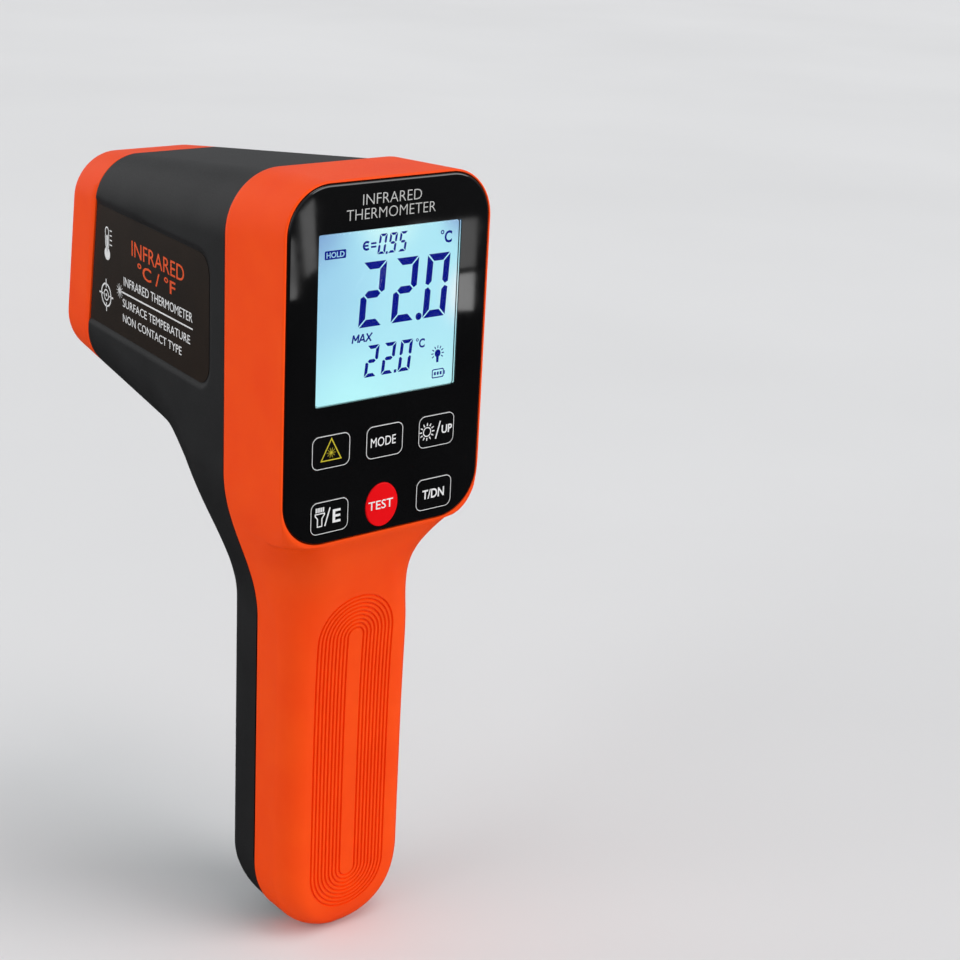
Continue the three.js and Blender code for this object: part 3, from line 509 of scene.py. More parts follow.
def on_nose(points):
    """Points given across, forward along the line of sight, and up the nose."""
    return np.asarray(points, float) @ LEAN.T + [0, NOSE_Y, NOSE_Z]


def sight(profile, height, sides=72, wrap=False):
    return revolve(profile, on_nose([0, 0, height]), LEAN[:, 1], sides, wrap)


def beyond_nose(start):
    corners = rectangle(100, -100, 100, 1, steps=1)
    return loft([on_nose(ring_at(corners, y)) for y in (start, 100)])


def nose_section(forward, inset):
    """The outline of the barrel on a plane this far forward of its end."""
    lean_sin, lean_cos = math.sin(NOSE_LEAN), math.cos(NOSE_LEAN)

    def height_at(level):
        k = BARREL_SLOPE * smoothstep(level, 0, BARREL_TOP - TOP_EDGE_REAR)
        rise = level - k * (NOSE_Y + forward * lean_cos - PARTING_Y) - NOSE_Z - forward * lean_sin
        return rise / (lean_cos - k * lean_sin)

    def depth_at(level):
        return NOSE_Y + forward * lean_cos - height_at(level) * lean_sin

    low, high = np.array(-46.0), np.array(0.0)
    for _ in range(40):
        middle = (low + high) / 2
        y = depth_at(middle)
        above = middle > KNEE_Z + UNDERSIDE_SLOPE * (y - KNEE_Y)
        inside = above & (distance_to_profile(y, middle) > inset)
        low, high = np.where(inside, low, middle), np.where(inside, middle, high)
    arc = 1 - np.cos(np.linspace(0, np.pi / 2, 15))
    bottom = high + (LOWER_EDGE - inset) * arc / 0.98
    top = BARREL_TOP - inset - (TOP_EDGE_NOSE + 0.4 - inset) * arc[::-1]
    levels = np.concatenate([bottom, np.linspace(bottom[-1], top[0], 10)[1:-1], top])
    y = depth_at(levels)
    half = np.stack([front_half_width(y, levels, inset), y, barrel_z(y, levels)], axis=1)
    return np.concatenate([half, (half * [-1, 1, 1])[::-1]])


def make_nose_ring():
    rim = NOSE_RIM
    stations = [(0.15, 0.4), (0.2, 0.15), (0.4, 0), (3, 0), (7, 0), (11, 0), (12.9, 0), (13.3, 0.06),
                (13.6, 0.22), (13.74, 0.45), (13.8, 0.8), (13.8, rim - 0.7), (13.74, rim - 0.35),
                (13.55, rim - 0.1), (13.2, rim), (9.5, rim), (6.2, rim), (6.2, rim + 1.8), (-6, rim + 1.8),
                (-6, WALL + GAP), (0.15, WALL + GAP)]
    ring = loft([nose_section(*station) for station in stations], wrap=True)
    dress(ring, "nose_ring_moulded", "orange_plastic", hides="nose_ring", sharp=40)


def make_nose_plate():
    edge = NOSE_RIM + GAP
    plate_steps = [(NOSE_FLOOR, edge), (8.2, edge), (8.42, edge + 0.1), (8.5, edge + 0.35)]
    plate = loft([nose_section(*step) for step in plate_steps])
    holes = [sight([(0, LENS_RADIUS + 2.1), (20, LENS_RADIUS + 2.1)], LENS_HEIGHT)]
    for _, height, radius in NOSE_WINDOWS:
        hole, mouth = radius + GAP, radius + GAP + 0.45
        holes.append(sight([(0, hole), (8.1, hole), (8.55, mouth), (9, mouth)], height))
    for _, height, _ in NOSE_WINDOWS:
        groove = [(8.25, 5), (9, 5), (9, 5.5), (8.25, 5.5)]
        holes.append(sight(groove, height, wrap=True))
    dress(cut(plate, join(*holes)), "nose_plate_moulded", "black_plastic", hides="nose_plate")


def make_lens():
    r = LENS_RADIUS
    tube = [(-34, r - 1), (-34, r + 1.8), (8.4, r + 1.8), (8.75, r + 1.68), (8.9, r + 1.4), (8.9, r + 0.7),
            (8.75, r + 0.4), (8.4, r + 0.3), (1.7, r + 0.3), (1.7, r - 1)]
    dress(sight(tube, LENS_HEIGHT, 96, True), "lens_tube_turned", "black_plastic", hides="lens_tube")
    dome = [(2 + 2.8 * math.cos(a) ** 0.8 if a < 1.5 else 3.9, (r - 0.25) * math.sin(a))
            for a in np.linspace(0.02, 1.5, 16)]
    lens = [(2, 0), (2, r - 0.3), (2.2, r), (3.9, r), *reversed([(max(d, 3.9), q) for d, q in dome])]
    dress(sight(lens, LENS_HEIGHT, 96), "infrared_lens", "clear_plastic", hides="ir_lens", paint="lens_glass")
    ring = [(5.2, r - 1.4), (5.2, r), (7.2, r), (7.4, r - 0.2), (7.4, r - 1.0), (7.1, r - 1.4)]
    keyway = block((-2 * r, 2 * r), (0, 0.9), (-0.6, 0.6))
    lean = Matrix.Rotation(NOSE_LEAN, 4, "X")
    keyway.data.transform(Matrix.Translation(Vector(on_nose([0, 6.9, LENS_HEIGHT]))) @ lean)
    dress(cut(sight(ring, LENS_HEIGHT, 96, True), keyway), "lens_retaining_ring", "aluminium",
          hides="lens_retainer")


def make_nose_windows():
    for name, height, radius in NOSE_WINDOWS:
        disc = [(7, 0), (7, radius), (7.95, radius), (8.13, radius - 0.06), (8.2, radius - 0.25), (8.2, 0)]
        dress(sight(disc, height, 48), name + "_disc", "clear_plastic", hides=name)
    cup = [(-1, 2), (-1, 2.6), (5.9, 3.9), (5.9, 3.4)]
    inner = [(d, 2 + 1.4 * ((d + 1) / 6.9) ** 0.6) for d in np.linspace(5.2, -0.6, 10)]
    dress(sight(cup + inner, TORCH_HEIGHT, 48, True), "torch_reflector_cup", "aluminium",
          hides="torch_reflector", paint="mirror")


# ---------- The two shells ----------


def groove_cutter(distance):
    """A closed bar that follows the back of the handle, round a long ring."""
    half_turn = np.linspace(0, np.pi, 41)
    top, bottom = GROOVES["top"], GROOVES["bottom"]
    upper = np.stack([np.cos(half_turn), np.sin(half_turn)], axis=1)
    straight = np.linspace(1, 0, 25)[1:-1]
    loop = [(distance * c, top + distance * s, c, s) for c, s in upper]
    loop += [(-distance, mix(bottom, top, t), -1, 0) for t in straight]
    loop += [(distance * c, bottom + distance * s, c, s) for c, s in -upper]
    loop += [(distance, mix(bottom, top, 1 - t), 1, 0) for t in straight]
    rings = []
    for x, z, out_x, out_z in loop:
        level = z
        for _ in range(6):
            level = z - float(tip_shift(rear_depth(level, 0), level))
        y = float(rear_depth(level, 0))
        ring = []
        for angle in np.linspace(0, 2 * np.pi, 10, endpoint=False):
            out = GROOVES["half"] * math.cos(angle)
            ring.append((x + out_x * out, y + GROOVES["depth"] * math.sin(angle), z + out_z * out))
        rings.append(ring)
    return loft(rings, wrap=True)


def make_rear_shell():
    end = PARTING_Y - GAP / 2
    body = rear_body(0, end)
    cavity = rear_body(WALL, PARTING_Y + 1)
    posts = [bar((0, 0, z), (0, end, z), POST_RADIUS) for z in SCREW_ROWS]
    cavity = cut(cavity, *posts)
    pocket = rectangle(PANEL_HALF + 0.2, PANEL_BOTTOM - 0.2, PANEL_TOP + 0.2, PANEL_CORNER + 0.2, steps=24)
    cuts = [cavity, prism(pocket, -3, POCKET_Y)]
    display_hole, key_hole = rectangle(22.7, -21.9, 21.9, 1, steps=3), rectangle(4, -3, 3, 1, steps=4)
    for outline in [display_hole] + [at(key_hole, (x, z)) for _, x, z in KEYS]:
        cuts.append(prism(outline, 1, FACE_WALL_Y + 1))
    cuts += [bar((0, 14.5, z), (0, 40, z), SHANK_HOLE, 24) for z in SCREW_ROWS]
    for k in range(GROOVES["count"]):
        cuts.append(groove_cutter(GROOVES["first"] + GROOVES["pitch"] * k))
    cut(body, *cuts)
    dress(body, "rear_shell_moulded", "orange_plastic", hides="rear_shell")


def door_outline(spare, below):
    wide, narrow, r = 13.6 + spare, 9.4 + spare, 2
    bottom, shoulder, top = -150.5 - spare, -144.5 - below, -91.5 + spare
    foot = [(narrow, bottom), (narrow, shoulder)]
    return foot + rounded(wide, shoulder, top, r, 8) + [(-narrow, shoulder), (-narrow, bottom)]


def screw_seat(z):
    return float(front_depth(np.array(float(z)))) - 5.5


def make_front_shell():
    start = PARTING_Y + GAP / 2
    outer = front_body(0, start)
    cavity = front_body(WALL, PARTING_Y - 1)
    skin_cavity = copy(cavity)
    kept = [bar((0, start, z), (0, 60, z), POST_RADIUS) for z in SCREW_ROWS]
    for side in (-1, 1):
        kept.append(bar((side * 18, start, 25.4), (side * 18, 32, 25.4), 3.2))
        kept.append(block(sorted((side * 7.2, side * 9)), (37, 54.5), (-58, -38.5)))
        kept.append(block(sorted((side * 9.8, side * 12.6)), (34.8, 39), (-151, -146.9)))
    kept += [block((-60, 60), (PARTING_Y + 2, 100), (z, z + 1.2)) for z in (-90.5, -146.9)]
    cut(cavity, *kept)
    skin = copy(outer)
    cuts = [cavity, beyond_nose(0), prism(door_outline(GAP, 0.8), 34, 100)]
    cuts += [bar((0, 0, z), (0, 60, z), SHANK_HOLE, 24) for z in SCREW_ROWS]
    cuts += [bar((0, screw_seat(z) - GAP, z), (0, 60, z), HEAD_HOLE) for z in SCREW_ROWS]
    cuts.append(cross_bar(9.7, DOOR_AXIS, 3))
    slot = [(y, z) for y, z in at(rectangle(9, -10.75, 10.75, 2.2, steps=6), (52, -50.75))]
    cuts.append(prism(slot, -6.9, 6.9, axis=0))
    cuts += [cross_bar(9.6, TRIGGER_AXIS, TRIGGER_PIN_HOLE), cross_bar(12.6, DOOR_AXIS, DOOR_PIN_HOLE)]
    cut(outer, *cuts)
    dress(outer, "front_shell_moulded", "black_plastic", hides="front_shell")
    make_door(skin, skin_cavity)


def make_door(skin, cavity):
    door = keep(skin, prism(door_outline(0, 0), 30, 60))
    cut(door, cavity)
    join(door, cross_bar(9.1, DOOR_AXIS, 1.9))
    cut(door, cross_bar(10.4, DOOR_AXIS, DOOR_PIN_HOLE))
    for z in np.arange(-110, -101.9, 1.6):
        ridge = revolve([(-6.6, 0.1), (-6.3, 0.5), (-5.8, 0.7), (5.8, 0.7), (6.3, 0.5), (6.6, 0.1)],
                        (0, HANDLE_FRONT_Y + 0.3, z), (1, 0, 0), 24)
        cut(door, ridge)
    arrow = [(-2.2, -98.2), (0, -95.6), (2.2, -98.2), (1.5, -98.8), (0, -97.1), (-1.5, -98.8)]
    cut(door, prism(arrow, HANDLE_FRONT_Y - 0.35, 45))
    dress(door, "battery_door_moulded", "black_plastic", hides="battery_door", body="battery_door")


# ---------- Display, keys and prints ----------

KEYS = [("laser_key", -15.3, -30.3), ("mode_key", -0.25, -30.3), ("up_key", 14.85, -30.3),
        ("torch_key", -15.3, -46), ("test_key", -0.4, -46), ("down_key", 14.85, -46)]
KEY_GAP, KEY_FACE_Y = 0.12, -0.45
KEY_SLOTS = {name: "red_plastic" if name == "test_key" else "gloss_black" for name, _, _ in KEYS}


def key_outline(name, inset, steps=10):
    if name == "test_key":
        return ellipse(TEST_RADII[0] - inset, TEST_RADII[1] - inset, 4 * (steps + 1))
    w, h = KEY_HALF
    return rectangle(w - inset, inset - h, h - inset, max(1.9 - inset, 0.1), steps=steps)


def stepped(outline, steps, axis=1):
    """A body whose outline changes along an axis: each step is (value, inset)."""
    return loft([ring_at(outline(inset), value, axis) for value, inset in steps])


def make_panel():
    def outline(inset):
        return rectangle(PANEL_HALF - inset, PANEL_BOTTOM + inset, PANEL_TOP - inset, PANEL_CORNER - inset,
                         steps=28)
    face = PANEL_FACE_Y
    panel = stepped(outline, [(PANEL_BACK_Y, 0), (0.35, 0), (0.2, 0.012), (0.0, 0.08), (-0.15, 0.2),
                              (-0.25, 0.36), (face, 0.6), (face, 0.64)])
    for name, x, z in KEYS:
        cut(panel, prism(at(key_outline(name, -KEY_GAP), (x, z)), -2, 2))
    w, h = WINDOW_HALF
    cut(panel, prism(rectangle(w, -h, h, 0.4, steps=6), -2, 2))
    dress(panel, "display_panel_moulded", "gloss_black", hides="display_panel", sharp=30)

    def pane(inset):
        return rectangle(w - 0.2 - inset, 0.2 - h + inset, h - 0.2 - inset, 0.35 - inset, steps=5)
    window = stepped(pane, [(0.4, 0), (-0.12, 0), (-0.24, 0.05), (-0.3, 0.17)])
    dress(window, "display_window_pane", "clear_plastic", hides="display_window", paint="window")

    def cell(inset):
        return rectangle(19.5 - inset, inset - 19.3, 19.3 - inset, 0.5, steps=3)
    glass = [ring_at(rectangle(22.4, -21.6, 21.6, 0.5, steps=3), y) for y in (3.3, 1.5)]
    glass += [ring_at(cell(inset), y) for y, inset in ((1.5, 0), (0.75, 0), (0.7, 0.05))]
    dress(loft(glass), "display_glass", "lcd_glass", hides="lcd_cell")


def make_keys():
    for name, x, z in KEYS:
        stem = ellipse(3.6, 2.6, 44) if name == "test_key" else rectangle(3.6, -2.6, 2.6, 1, steps=10)
        cap = [(0.8, 0), (-0.2, 0), (-0.34, 0.04), (-0.42, 0.13), (KEY_FACE_Y, 0.28), (KEY_FACE_Y, 0.33)]
        outlines = [(4.6, stem), (0.8, stem)] + [(y, key_outline(name, inset)) for y, inset in cap]
        rings = [ring_at(at(outline, (x, z)), y) for y, outline in outlines]
        dress(loft(rings), name + "_cap", KEY_SLOTS[name], hides=name, sharp=40, body=name)


class Print:
    """Flat shapes gathered into one thin printed layer."""

    def __init__(self):
        self.points, self.faces, self.count = [], [], 0

    def add(self, points, faces):
        self.points.append(np.asarray(points, float))
        self.faces += [tuple(self.count + i for i in face) for face in faces]
        self.count += len(points)

    def shape(self, outline):
        size = len(outline)
        outline = np.asarray(outline, float)
        ahead = np.roll(outline, -1, axis=0)
        if (outline[:, 0] * ahead[:, 1] - ahead[:, 0] * outline[:, 1]).sum() < 0:
            outline = outline[::-1]
        self.add([(u, v, w) for w in (0, 1) for u, v in outline],
                 [tuple(range(size))[::-1], tuple(range(size, 2 * size))]
                 + [(i, (i + 1) % size, size + (i + 1) % size, size + i) for i in range(size)])

    def frame(self, outer, inner):
        size = len(outer)
        points = [(u, v, w) for w in (0, 1) for ring in (outer, inner) for u, v in ring]
        faces = []
        for i in range(size):
            k = (i + 1) % size
            faces.append((size + i, size + k, k, i))
            faces.append((2 * size + k, 3 * size + k, 3 * size + i, 2 * size + i))
            faces.append((k, 2 * size + k, 2 * size + i, i))
            faces.append((3 * size + i, 3 * size + k, size + k, size + i))
        self.add(points, faces)

    def line(self, start, end, width, end_width=None):
        (u0, v0), (u1, v1) = start, end
        length = math.hypot(u1 - u0, v1 - v0)
        nu, nv = (v0 - v1) / length / 2, (u1 - u0) / length / 2
        last = width if end_width is None else end_width
        self.shape([(u0 - nu * width, v0 - nv * width), (u1 - nu * last, v1 - nv * last),
                    (u1 + nu * last, v1 + nv * last), (u0 + nu * width, v0 + nv * width)])

    def text(self, words, left, right, bottom, top, weight):
        """Words in the built-in letters, stretched to fill a box."""
        curve = bpy.data.curves.new("words", "FONT")
        curve.body, curve.extrude, curve.offset, curve.resolution_u = words, 0.5, weight, 3
        source = link("words", curve)
        mesh = evaluated_mesh(source)
        points = np.array([v.co for v in mesh.vertices])
        faces = [tuple(f.vertices) for f in mesh.polygons]
        bpy.data.objects.remove(source)
        low, high = points.min(axis=0), points.max(axis=0)
        points = (points - low) / np.maximum(high - low, 1e-9)
        points[:, 0] = left + points[:, 0] * (right - left)
        points[:, 1] = bottom + points[:, 1] * (top - bottom)
        self.add(points, faces)

    def digit(self, value, left, bottom, width, height, thick, slant):
        """A seven-segment digit with mitred ends."""
        w, h, half, t = width, height, height / 2, thick
        g = 0.08 + 0.1 * t  # gap between the bars
        end = [(g, h), (w - g, h), (w - t - g, h - t), (t + g, h - t)]
        side = [(w, h - g), (w, half + g + t * 0.25), (w - t / 2, half + g), (w - t, half + t / 2 + g),
                (w - t, h - t - g)]
        left_side = [(w - u, v) for u, v in side]
        bars = {"a": end, "b": side, "f": left_side}
        for letter, above in (("c", side), ("d", end), ("e", left_side)):
            bars[letter] = [(u, h - v) for u, v in above]
        bars["g"] = [(t / 2 + g, half), (t + g, half + t / 2), (w - t - g, half + t / 2),
                     (w - t / 2 - g, half), (w - t - g, half - t / 2), (t + g, half - t / 2)]
        for letter in {"0": "abcdef", "2": "abged", "5": "afgcd", "9": "abcdfg"}[value]:
            self.shape([(left + u + slant * v, bottom + v) for u, v in bars[letter]])

    def lay(self, to_space, name, slot, paint, body="housing"):
        points = to_space(np.concatenate(self.points))
        dress(solid(points, self.faces), name, slot, sharp=30, paint=paint, body=body)


def facing_back(y, height=PRINT_HEIGHT):
    """Lays a print on a face that looks backward, at this depth."""
    def to_space(points):
        return np.stack([points[:, 0], y - height * points[:, 2], points[:, 1]], axis=1)
    return to_space


def draw_digits(ink):
    for i, value in enumerate("220"):
        ink.digit(value, -8.1 + 9.02 * i, -2.8, 6.5, 14.85, 1.7, 0.066)
        ink.digit(value, -6.15 + 4.75 * i, -14.6, 3.4, 7.4, 0.86, 0.11)
        ink.digit("095"[i], -3.45 + 2.85 * i, 13.55, 2.1, 4.55, 0.56, 0.15)
    ink.shape(circle(0.86, (8.85, -2.15), 24))
    ink.shape([(2.3, -14.6), (3.0, -14.6), (3.07, -13.85), (2.37, -13.85)])
    ink.shape([(-1.12, 13.4), (-0.62, 13.4), (-0.55, 14.0), (-1.05, 14.0)])


def draw_emissivity(ink):
    """The letter for emissivity, drawn as an arc and a bar, and its equals sign."""
    arc = [math.radians(a) for a in range(50, 311, 10)]
    outer, inner = [[(-6.35 + r * math.cos(a), 15.8 + r * math.sin(a)) for a in arc] for r in (1.1, 0.6)]
    ink.shape(outer + inner[::-1])
    ink.line((-7.1, 15.8), (-5.9, 15.8), 0.42)
    for v in (15.4, 16.2):
        ink.line((-5.2, v), (-3.75, v), 0.42)


def draw_units(ink):
    for u, v, size in ((14.3, 14.2, 1.0), (8.4, -9.75, 0.78)):
        ink.text("C", u + 1.15 * size, u + 3.3 * size, v, v + 2.85 * size, 0.03)
        ink.frame(circle(0.5 * size, (u + 0.5 * size, v + 2.6 * size), 20),
                  circle(0.24 * size, (u + 0.5 * size, v + 2.6 * size), 20))


def draw_max(ink):
    """The word MAX, in slanted strokes."""
    for left, strokes in ((-9.6, [(0, 0), (0, 1), (0.75, 0.3), (1.5, 1), (1.5, 0)]),
                          (-7.75, [(0, 0), (0.75, 1), (1.5, 0)]), (-7.45, [(0, 0.3), (0.9, 0.3)]),
                          (-5.95, [(0, 0), (1.5, 1)]), (-5.95, [(0, 1), (1.5, 0)])):
        path = [(left + u + 0.3 * v, -6.15 + 1.9 * v) for u, v in strokes]
        for start, end in zip(path, path[1:]):
            ink.line(start, end, 0.38)


def draw_bulb(ink):
    bulb = (14.9, -11.75)
    ink.shape(at(ellipse(0.85, 0.95, 24), bulb))
    ink.shape([(14.5, -12.4), (15.3, -12.4), (15.22, -13.9), (14.58, -13.9)])
    for step in range(-1, 8):
        angle = math.radians(step * 30)
        ray = (math.cos(angle), math.sin(angle))
        ink.line((bulb[0] + 1.2 * ray[0], bulb[1] + 1.25 * ray[1]),
                 (bulb[0] + 1.85 * ray[0], bulb[1] + 1.9 * ray[1]), 0.24)


def draw_charge(ink):
    """The sign for the battery's charge."""
    ink.frame(at(rectangle(1.75, -1.1, 1.1, 0.4, steps=4), (15.2, -16.6)),
              at(rectangle(1.5, -0.85, 0.85, 0.25, steps=4), (15.2, -16.6)))
    ink.shape(at(rectangle(0.14, -0.45, 0.45, 0.05, steps=2), (17.15, -16.6)))
    for i in range(3):
        ink.shape(at(rectangle(0.27, -0.38, 0.38, 0.05, steps=2), (14.35 + 0.85 * i, -16.6)))


def make_display_print():
    ink = Print()
    ink.shape(at(rectangle(2.85, -0.98, 0.98, 0.3, steps=4), (-14.75, 14.7)))
    for draw in (draw_digits, draw_emissivity, draw_units, draw_max, draw_bulb, draw_charge):
        draw(ink)
    ink.lay(facing_back(0.68), "display_segments", "lcd_glass", "lcd_ink")

    hold = Print()
    hold.text("HOLD", -17.15, -12.35, 14.05, 15.35, 0.02)
    hold.lay(facing_back(0.64), "display_hold", "lcd_glass", "lcd_glass")

    title = Print()
    title.text("INFRARED", -8.35, 7.85, 25.25, 27.6, -0.014)
    title.text("THERMOMETER", -12.65, 11.95, 22.05, 24.45, -0.014)
    title.lay(facing_back(PANEL_FACE_Y), "panel_lettering", "gloss_black", "print_grey")


def star(print_layer, centre, rays, inner, outer, width):
    for i in range(rays):
        angle = 2 * math.pi * i / rays
        ray = (math.cos(angle), math.sin(angle))
        print_layer.line((centre[0] + inner * ray[0], centre[1] + inner * ray[1]),
                         (centre[0] + outer * ray[0], centre[1] + outer * ray[1]), width, width * 0.6)


def draw_up(up):
    """A sun, a stroke and the word UP."""
    sun = (12.1, -30.3)
    up.frame(circle(1.2, sun, 36), circle(0.95, sun, 36))
    star(up, sun, 12, 1.5, 2.2, 0.34)
    up.line((14.7, -32.4), (15.95, -28.2), 0.34)
    up.text("UP", 16.45, 19.55, -31.4, -29.35, 0.02)


def draw_torch(torch):
    """A torch with five rays, a stroke and the letter E."""
    for i in range(5):
        torch.shape(at(rectangle(0.17, -0.55, 0.55, 0.05, steps=2), (-19.0 + 0.5 * i, -43.95)))
    half = [(1.4, -44.75), (1.4, -45.3), (0.75, -46.1), (0.75, -48.1)]
    thin = [(1.12, -45.0), (1.12, -45.22), (0.48, -46.02), (0.48, -47.84)]
    head, inner = [[(-18 - u, v) for u, v in side] + [(-18 + u, v) for u, v in side[::-1]]
                   for side in (half, thin)]
    torch.frame(head, inner)
    torch.line((-16.55, -48.1), (-15.2, -43.8), 0.34)
    torch.text("E", -14.4, -12.2, -47.75, -44.5, 0.02)


def make_legends():
    prints = {name: Print() for name, _, _ in KEYS}
    for name, x, z in KEYS:
        if name != "test_key":
            prints[name].frame(at(key_outline(name, 0.2), (x, z)), at(key_outline(name, 0.34), (x, z)))
    prints["mode_key"].text("MODE", -4.2, 2.95, -31.45, -29.2, 0.0)
    draw_up(prints["up_key"])
    draw_torch(prints["torch_key"])
    prints["test_key"].text("TEST", -4.3, 2.8, -47.0, -44.8, 0.005)
    prints["down_key"].text("T/DN", 11.5, 18.0, -47.2, -44.85, 0.02)
    for name, layer in prints.items():
        layer.lay(facing_back(KEY_FACE_Y, 0.02), name + "_legend", KEY_SLOTS[name], "print_white", name)


def make_laser_symbol():
    """A plain triangle with a burst in it."""
    laser = Print()
    outer = [(-15.25, -26.95), (-18.2, -32.45), (-12.3, -32.45)]
    inner = [(-15.25, -27.55), (-17.78, -32.2), (-12.72, -32.2)]
    laser.frame(outer, inner)
    star(laser, (-15.25, -30.6), 10, 0.25, 1.25, 0.12)
    laser.shape(circle(0.3, (-15.25, -30.6), 16))
    laser.lay(facing_back(KEY_FACE_Y), "laser_key_symbol", "gloss_black", "print_yellow", "laser_key")


def level_of(y, z):
    low, high = np.full_like(z, -60.0), np.full_like(z, 40.0)
    for _ in range(40):
        middle = (low + high) / 2
        above = barrel_z(y, middle) > z
        low, high = np.where(above, low, middle), np.where(above, middle, high)
    return (low + high) / 2


def on_side(side, inset):
    """Lays a print on the barrel's side: u runs forward, v up, w outward to this inset."""
    def to_space(points):
        y, z = points[:, 0], points[:, 1]
        x = front_half_width(y, level_of(y, z), inset) + PRINT_HEIGHT * points[:, 2]
        return np.stack([side * x, y, z], axis=1)
    return to_space


def sheet(layers):
    """A closed thin body between two grids of points of the same size."""
    rows, columns = layers[0].shape[:2]
    lift = rows * columns
    faces = []
    for base, turned in ((0, True), (lift, False)):
        for i in range(rows - 1):
            for j in range(columns - 1):
                a = base + i * columns + j
                face = (a, a + 1, a + columns + 1, a + columns)
                faces.append(face[::-1] if turned else face)
    rim = list(range(columns)) + [i * columns + columns - 1 for i in range(1, rows)]
    rim += [(rows - 1) * columns + j for j in range(columns - 2, -1, -1)]
    rim += [i * columns for i in range(rows - 2, 0, -1)]
    faces += [(a, b, b + lift, a + lift) for a, b in zip(rim, rim[1:] + rim[:1])]
    return solid(np.concatenate([layer.reshape(-1, 3) for layer in layers]), faces)


def make_label(side, name):
    bottom, top, corner = LABEL["bottom"] + LABEL_GAP, LABEL["top"] - LABEL_GAP, LABEL["corner"]
    round_steps = corner * (1 - np.cos(np.linspace(0, np.pi / 2, 9)))
    z = np.concatenate([bottom + round_steps, np.linspace(bottom + corner, top - corner, 12)[1:-1],
                        top - round_steps[::-1]])[:, None]
    into = np.maximum(np.maximum(bottom + corner - z, z - (top - corner)), 0)
    rear = LABEL["rear"] + LABEL_GAP + corner - np.sqrt(np.maximum(corner ** 2 - into ** 2, 0))
    short = 0.6  # the film ends this far behind the end of the barrel
    up_nose = (z - NOSE_Z + short * math.sin(NOSE_LEAN)) / math.cos(NOSE_LEAN)
    front = NOSE_Y - short * math.cos(NOSE_LEAN) - up_nose * math.sin(NOSE_LEAN)
    y = mix(rear, front, np.linspace(0, 1, 30)[None, :])
    z = z + 0 * y
    film = sheet([np.stack([side * front_half_width(y, level_of(y, z), inset), y, z], axis=2)
                  for inset in (LABEL_BACK, LABEL_FACE)])
    dress(film, name + "_film", "label_film", hides=name, sharp=50)
    make_label_print(side, name)


def make_label_print(side, name):
    """Words and symbols. On the left the words run from the nose backward, on the right forward."""
    orange, white = Print(), Print()

    def words(layer, text, nose_end, rear_end, bottom, top, weight):
        if side < 0:
            layer.text(text, -nose_end, -rear_end, bottom, top, weight)
        else:
            layer.text(text, rear_end, nose_end, bottom, top, weight)

    words(orange, "INFRARED", 73.8, 44.6, 0.1, 3.9, 0.0)
    words(orange, "°C / °F", 70.5, 49.3, -4.4, -0.9, 0.01)
    words(white, "INFRARED THERMOMETER", 78.7, 40.2, -8.6, -6.3, 0.0)
    words(white, "SURFACE TEMPERATURE", 79.4, 41.4, -14.1, -12.0, 0.0)
    words(white, "NON CONTACT TYPE", 79.4, 46.0, -18.0, -15.9, 0.0)
    sign = -1 if side < 0 else 1
    white.line((sign * 81.2, -10.5), (sign * 40, -10.1), 0.42, 0.36)
    star(white, (sign * 81.2, -10.5), 12, 0.3, 1.9, 0.18)
    white.shape(circle(0.75, (sign * 81.2, -10.5), 20))
    tube = (sign * 88.5, 0.9)
    glass = [rectangle(1.15, -2.2, 3.4, 1.14, steps=6), rectangle(0.8, -2.0, 3.05, 0.79, steps=6)]
    white.frame(*(at(outline, tube) for outline in glass))
    white.shape(at(rectangle(0.42, -3.0, 1.3, 0.4, steps=5), tube))
    white.shape(circle(1.65, (tube[0], tube[1] - 3.5), 28))
    for tick in (-0.9, 0.3, 1.5, 2.7):
        white.line((tube[0] + 1.6, tube[1] + tick), (tube[0] + 2.9, tube[1] + tick), 0.28)
    target = (sign * 89.5, -13.5)
    white.frame(circle(3.1, target, 48), circle(2.65, target, 48))
    white.frame(circle(1.5, target, 32), circle(1.15, target, 32))
    for ray in ((1, 0), (0, 1), (-1, 0), (0, -1)):
        white.line((target[0] + 1.9 * ray[0], target[1] + 1.9 * ray[1]),
                   (target[0] + 4.2 * ray[0], target[1] + 4.2 * ray[1]), 0.42)
    white.shape(circle(0.4, target, 16))
    for layer, tone in ((orange, "orange"), (white, "white")):
        points = np.concatenate(layer.points)
        points[:, 0] *= sign
        layer.points = [points]
        layer.lay(on_side(side, LABEL_FACE), f"{name}_{tone}_print", "label_film", f"print_{tone}")


# ---------- Trigger, screws and battery ----------


def curve_points(start, control, end, steps=12):
    t = np.linspace(0, 1, steps + 1)[1:, None]
    a, b, c = (np.array(p, float) for p in (start, control, end))
    return [tuple(p) for p in (1 - t) ** 2 * a + 2 * t * (1 - t) * b + t ** 2 * c]


def make_trigger():
    side = [(47.6, -46.4), (60.4, -46.4)]
    for control, end in (((60.2, -50.5), (57.4, -55)), ((53.6, -62), (54.2, -71)),
                         ((54.6, -77), (52.2, -77)), ((50, -77), (49.8, -71))):
        side += curve_points(side[-1], control, end)
    side.append((49.4, -58))
    blade = bevel(prism(side, -6.5, 6.5, axis=0), 1.3, 5, 50)
    y, z = TRIGGER_AXIS
    arm = [(y + 3.1 * math.cos(a), z + 3.1 * math.sin(a)) for a in np.linspace(0, np.pi, 20)]
    arm += [(47.6, -48), (57, -48)]
    join(blade, prism(arm, -3.5, 3.5, axis=0))
    cut(blade, cross_bar(9, TRIGGER_AXIS, TRIGGER_PIN_HOLE))
    for row in np.arange(-68.5, -57, 1.9):
        rib = bar((-5, 0, row), (5, 0, row), 0.28, 12)
        rib.data.transform(Matrix.Translation((0, blade_front(row), 0)))
        cut(blade, rib)
    dress(blade, "trigger_moulded", "black_plastic", hides="trigger", sharp=35, body="trigger")


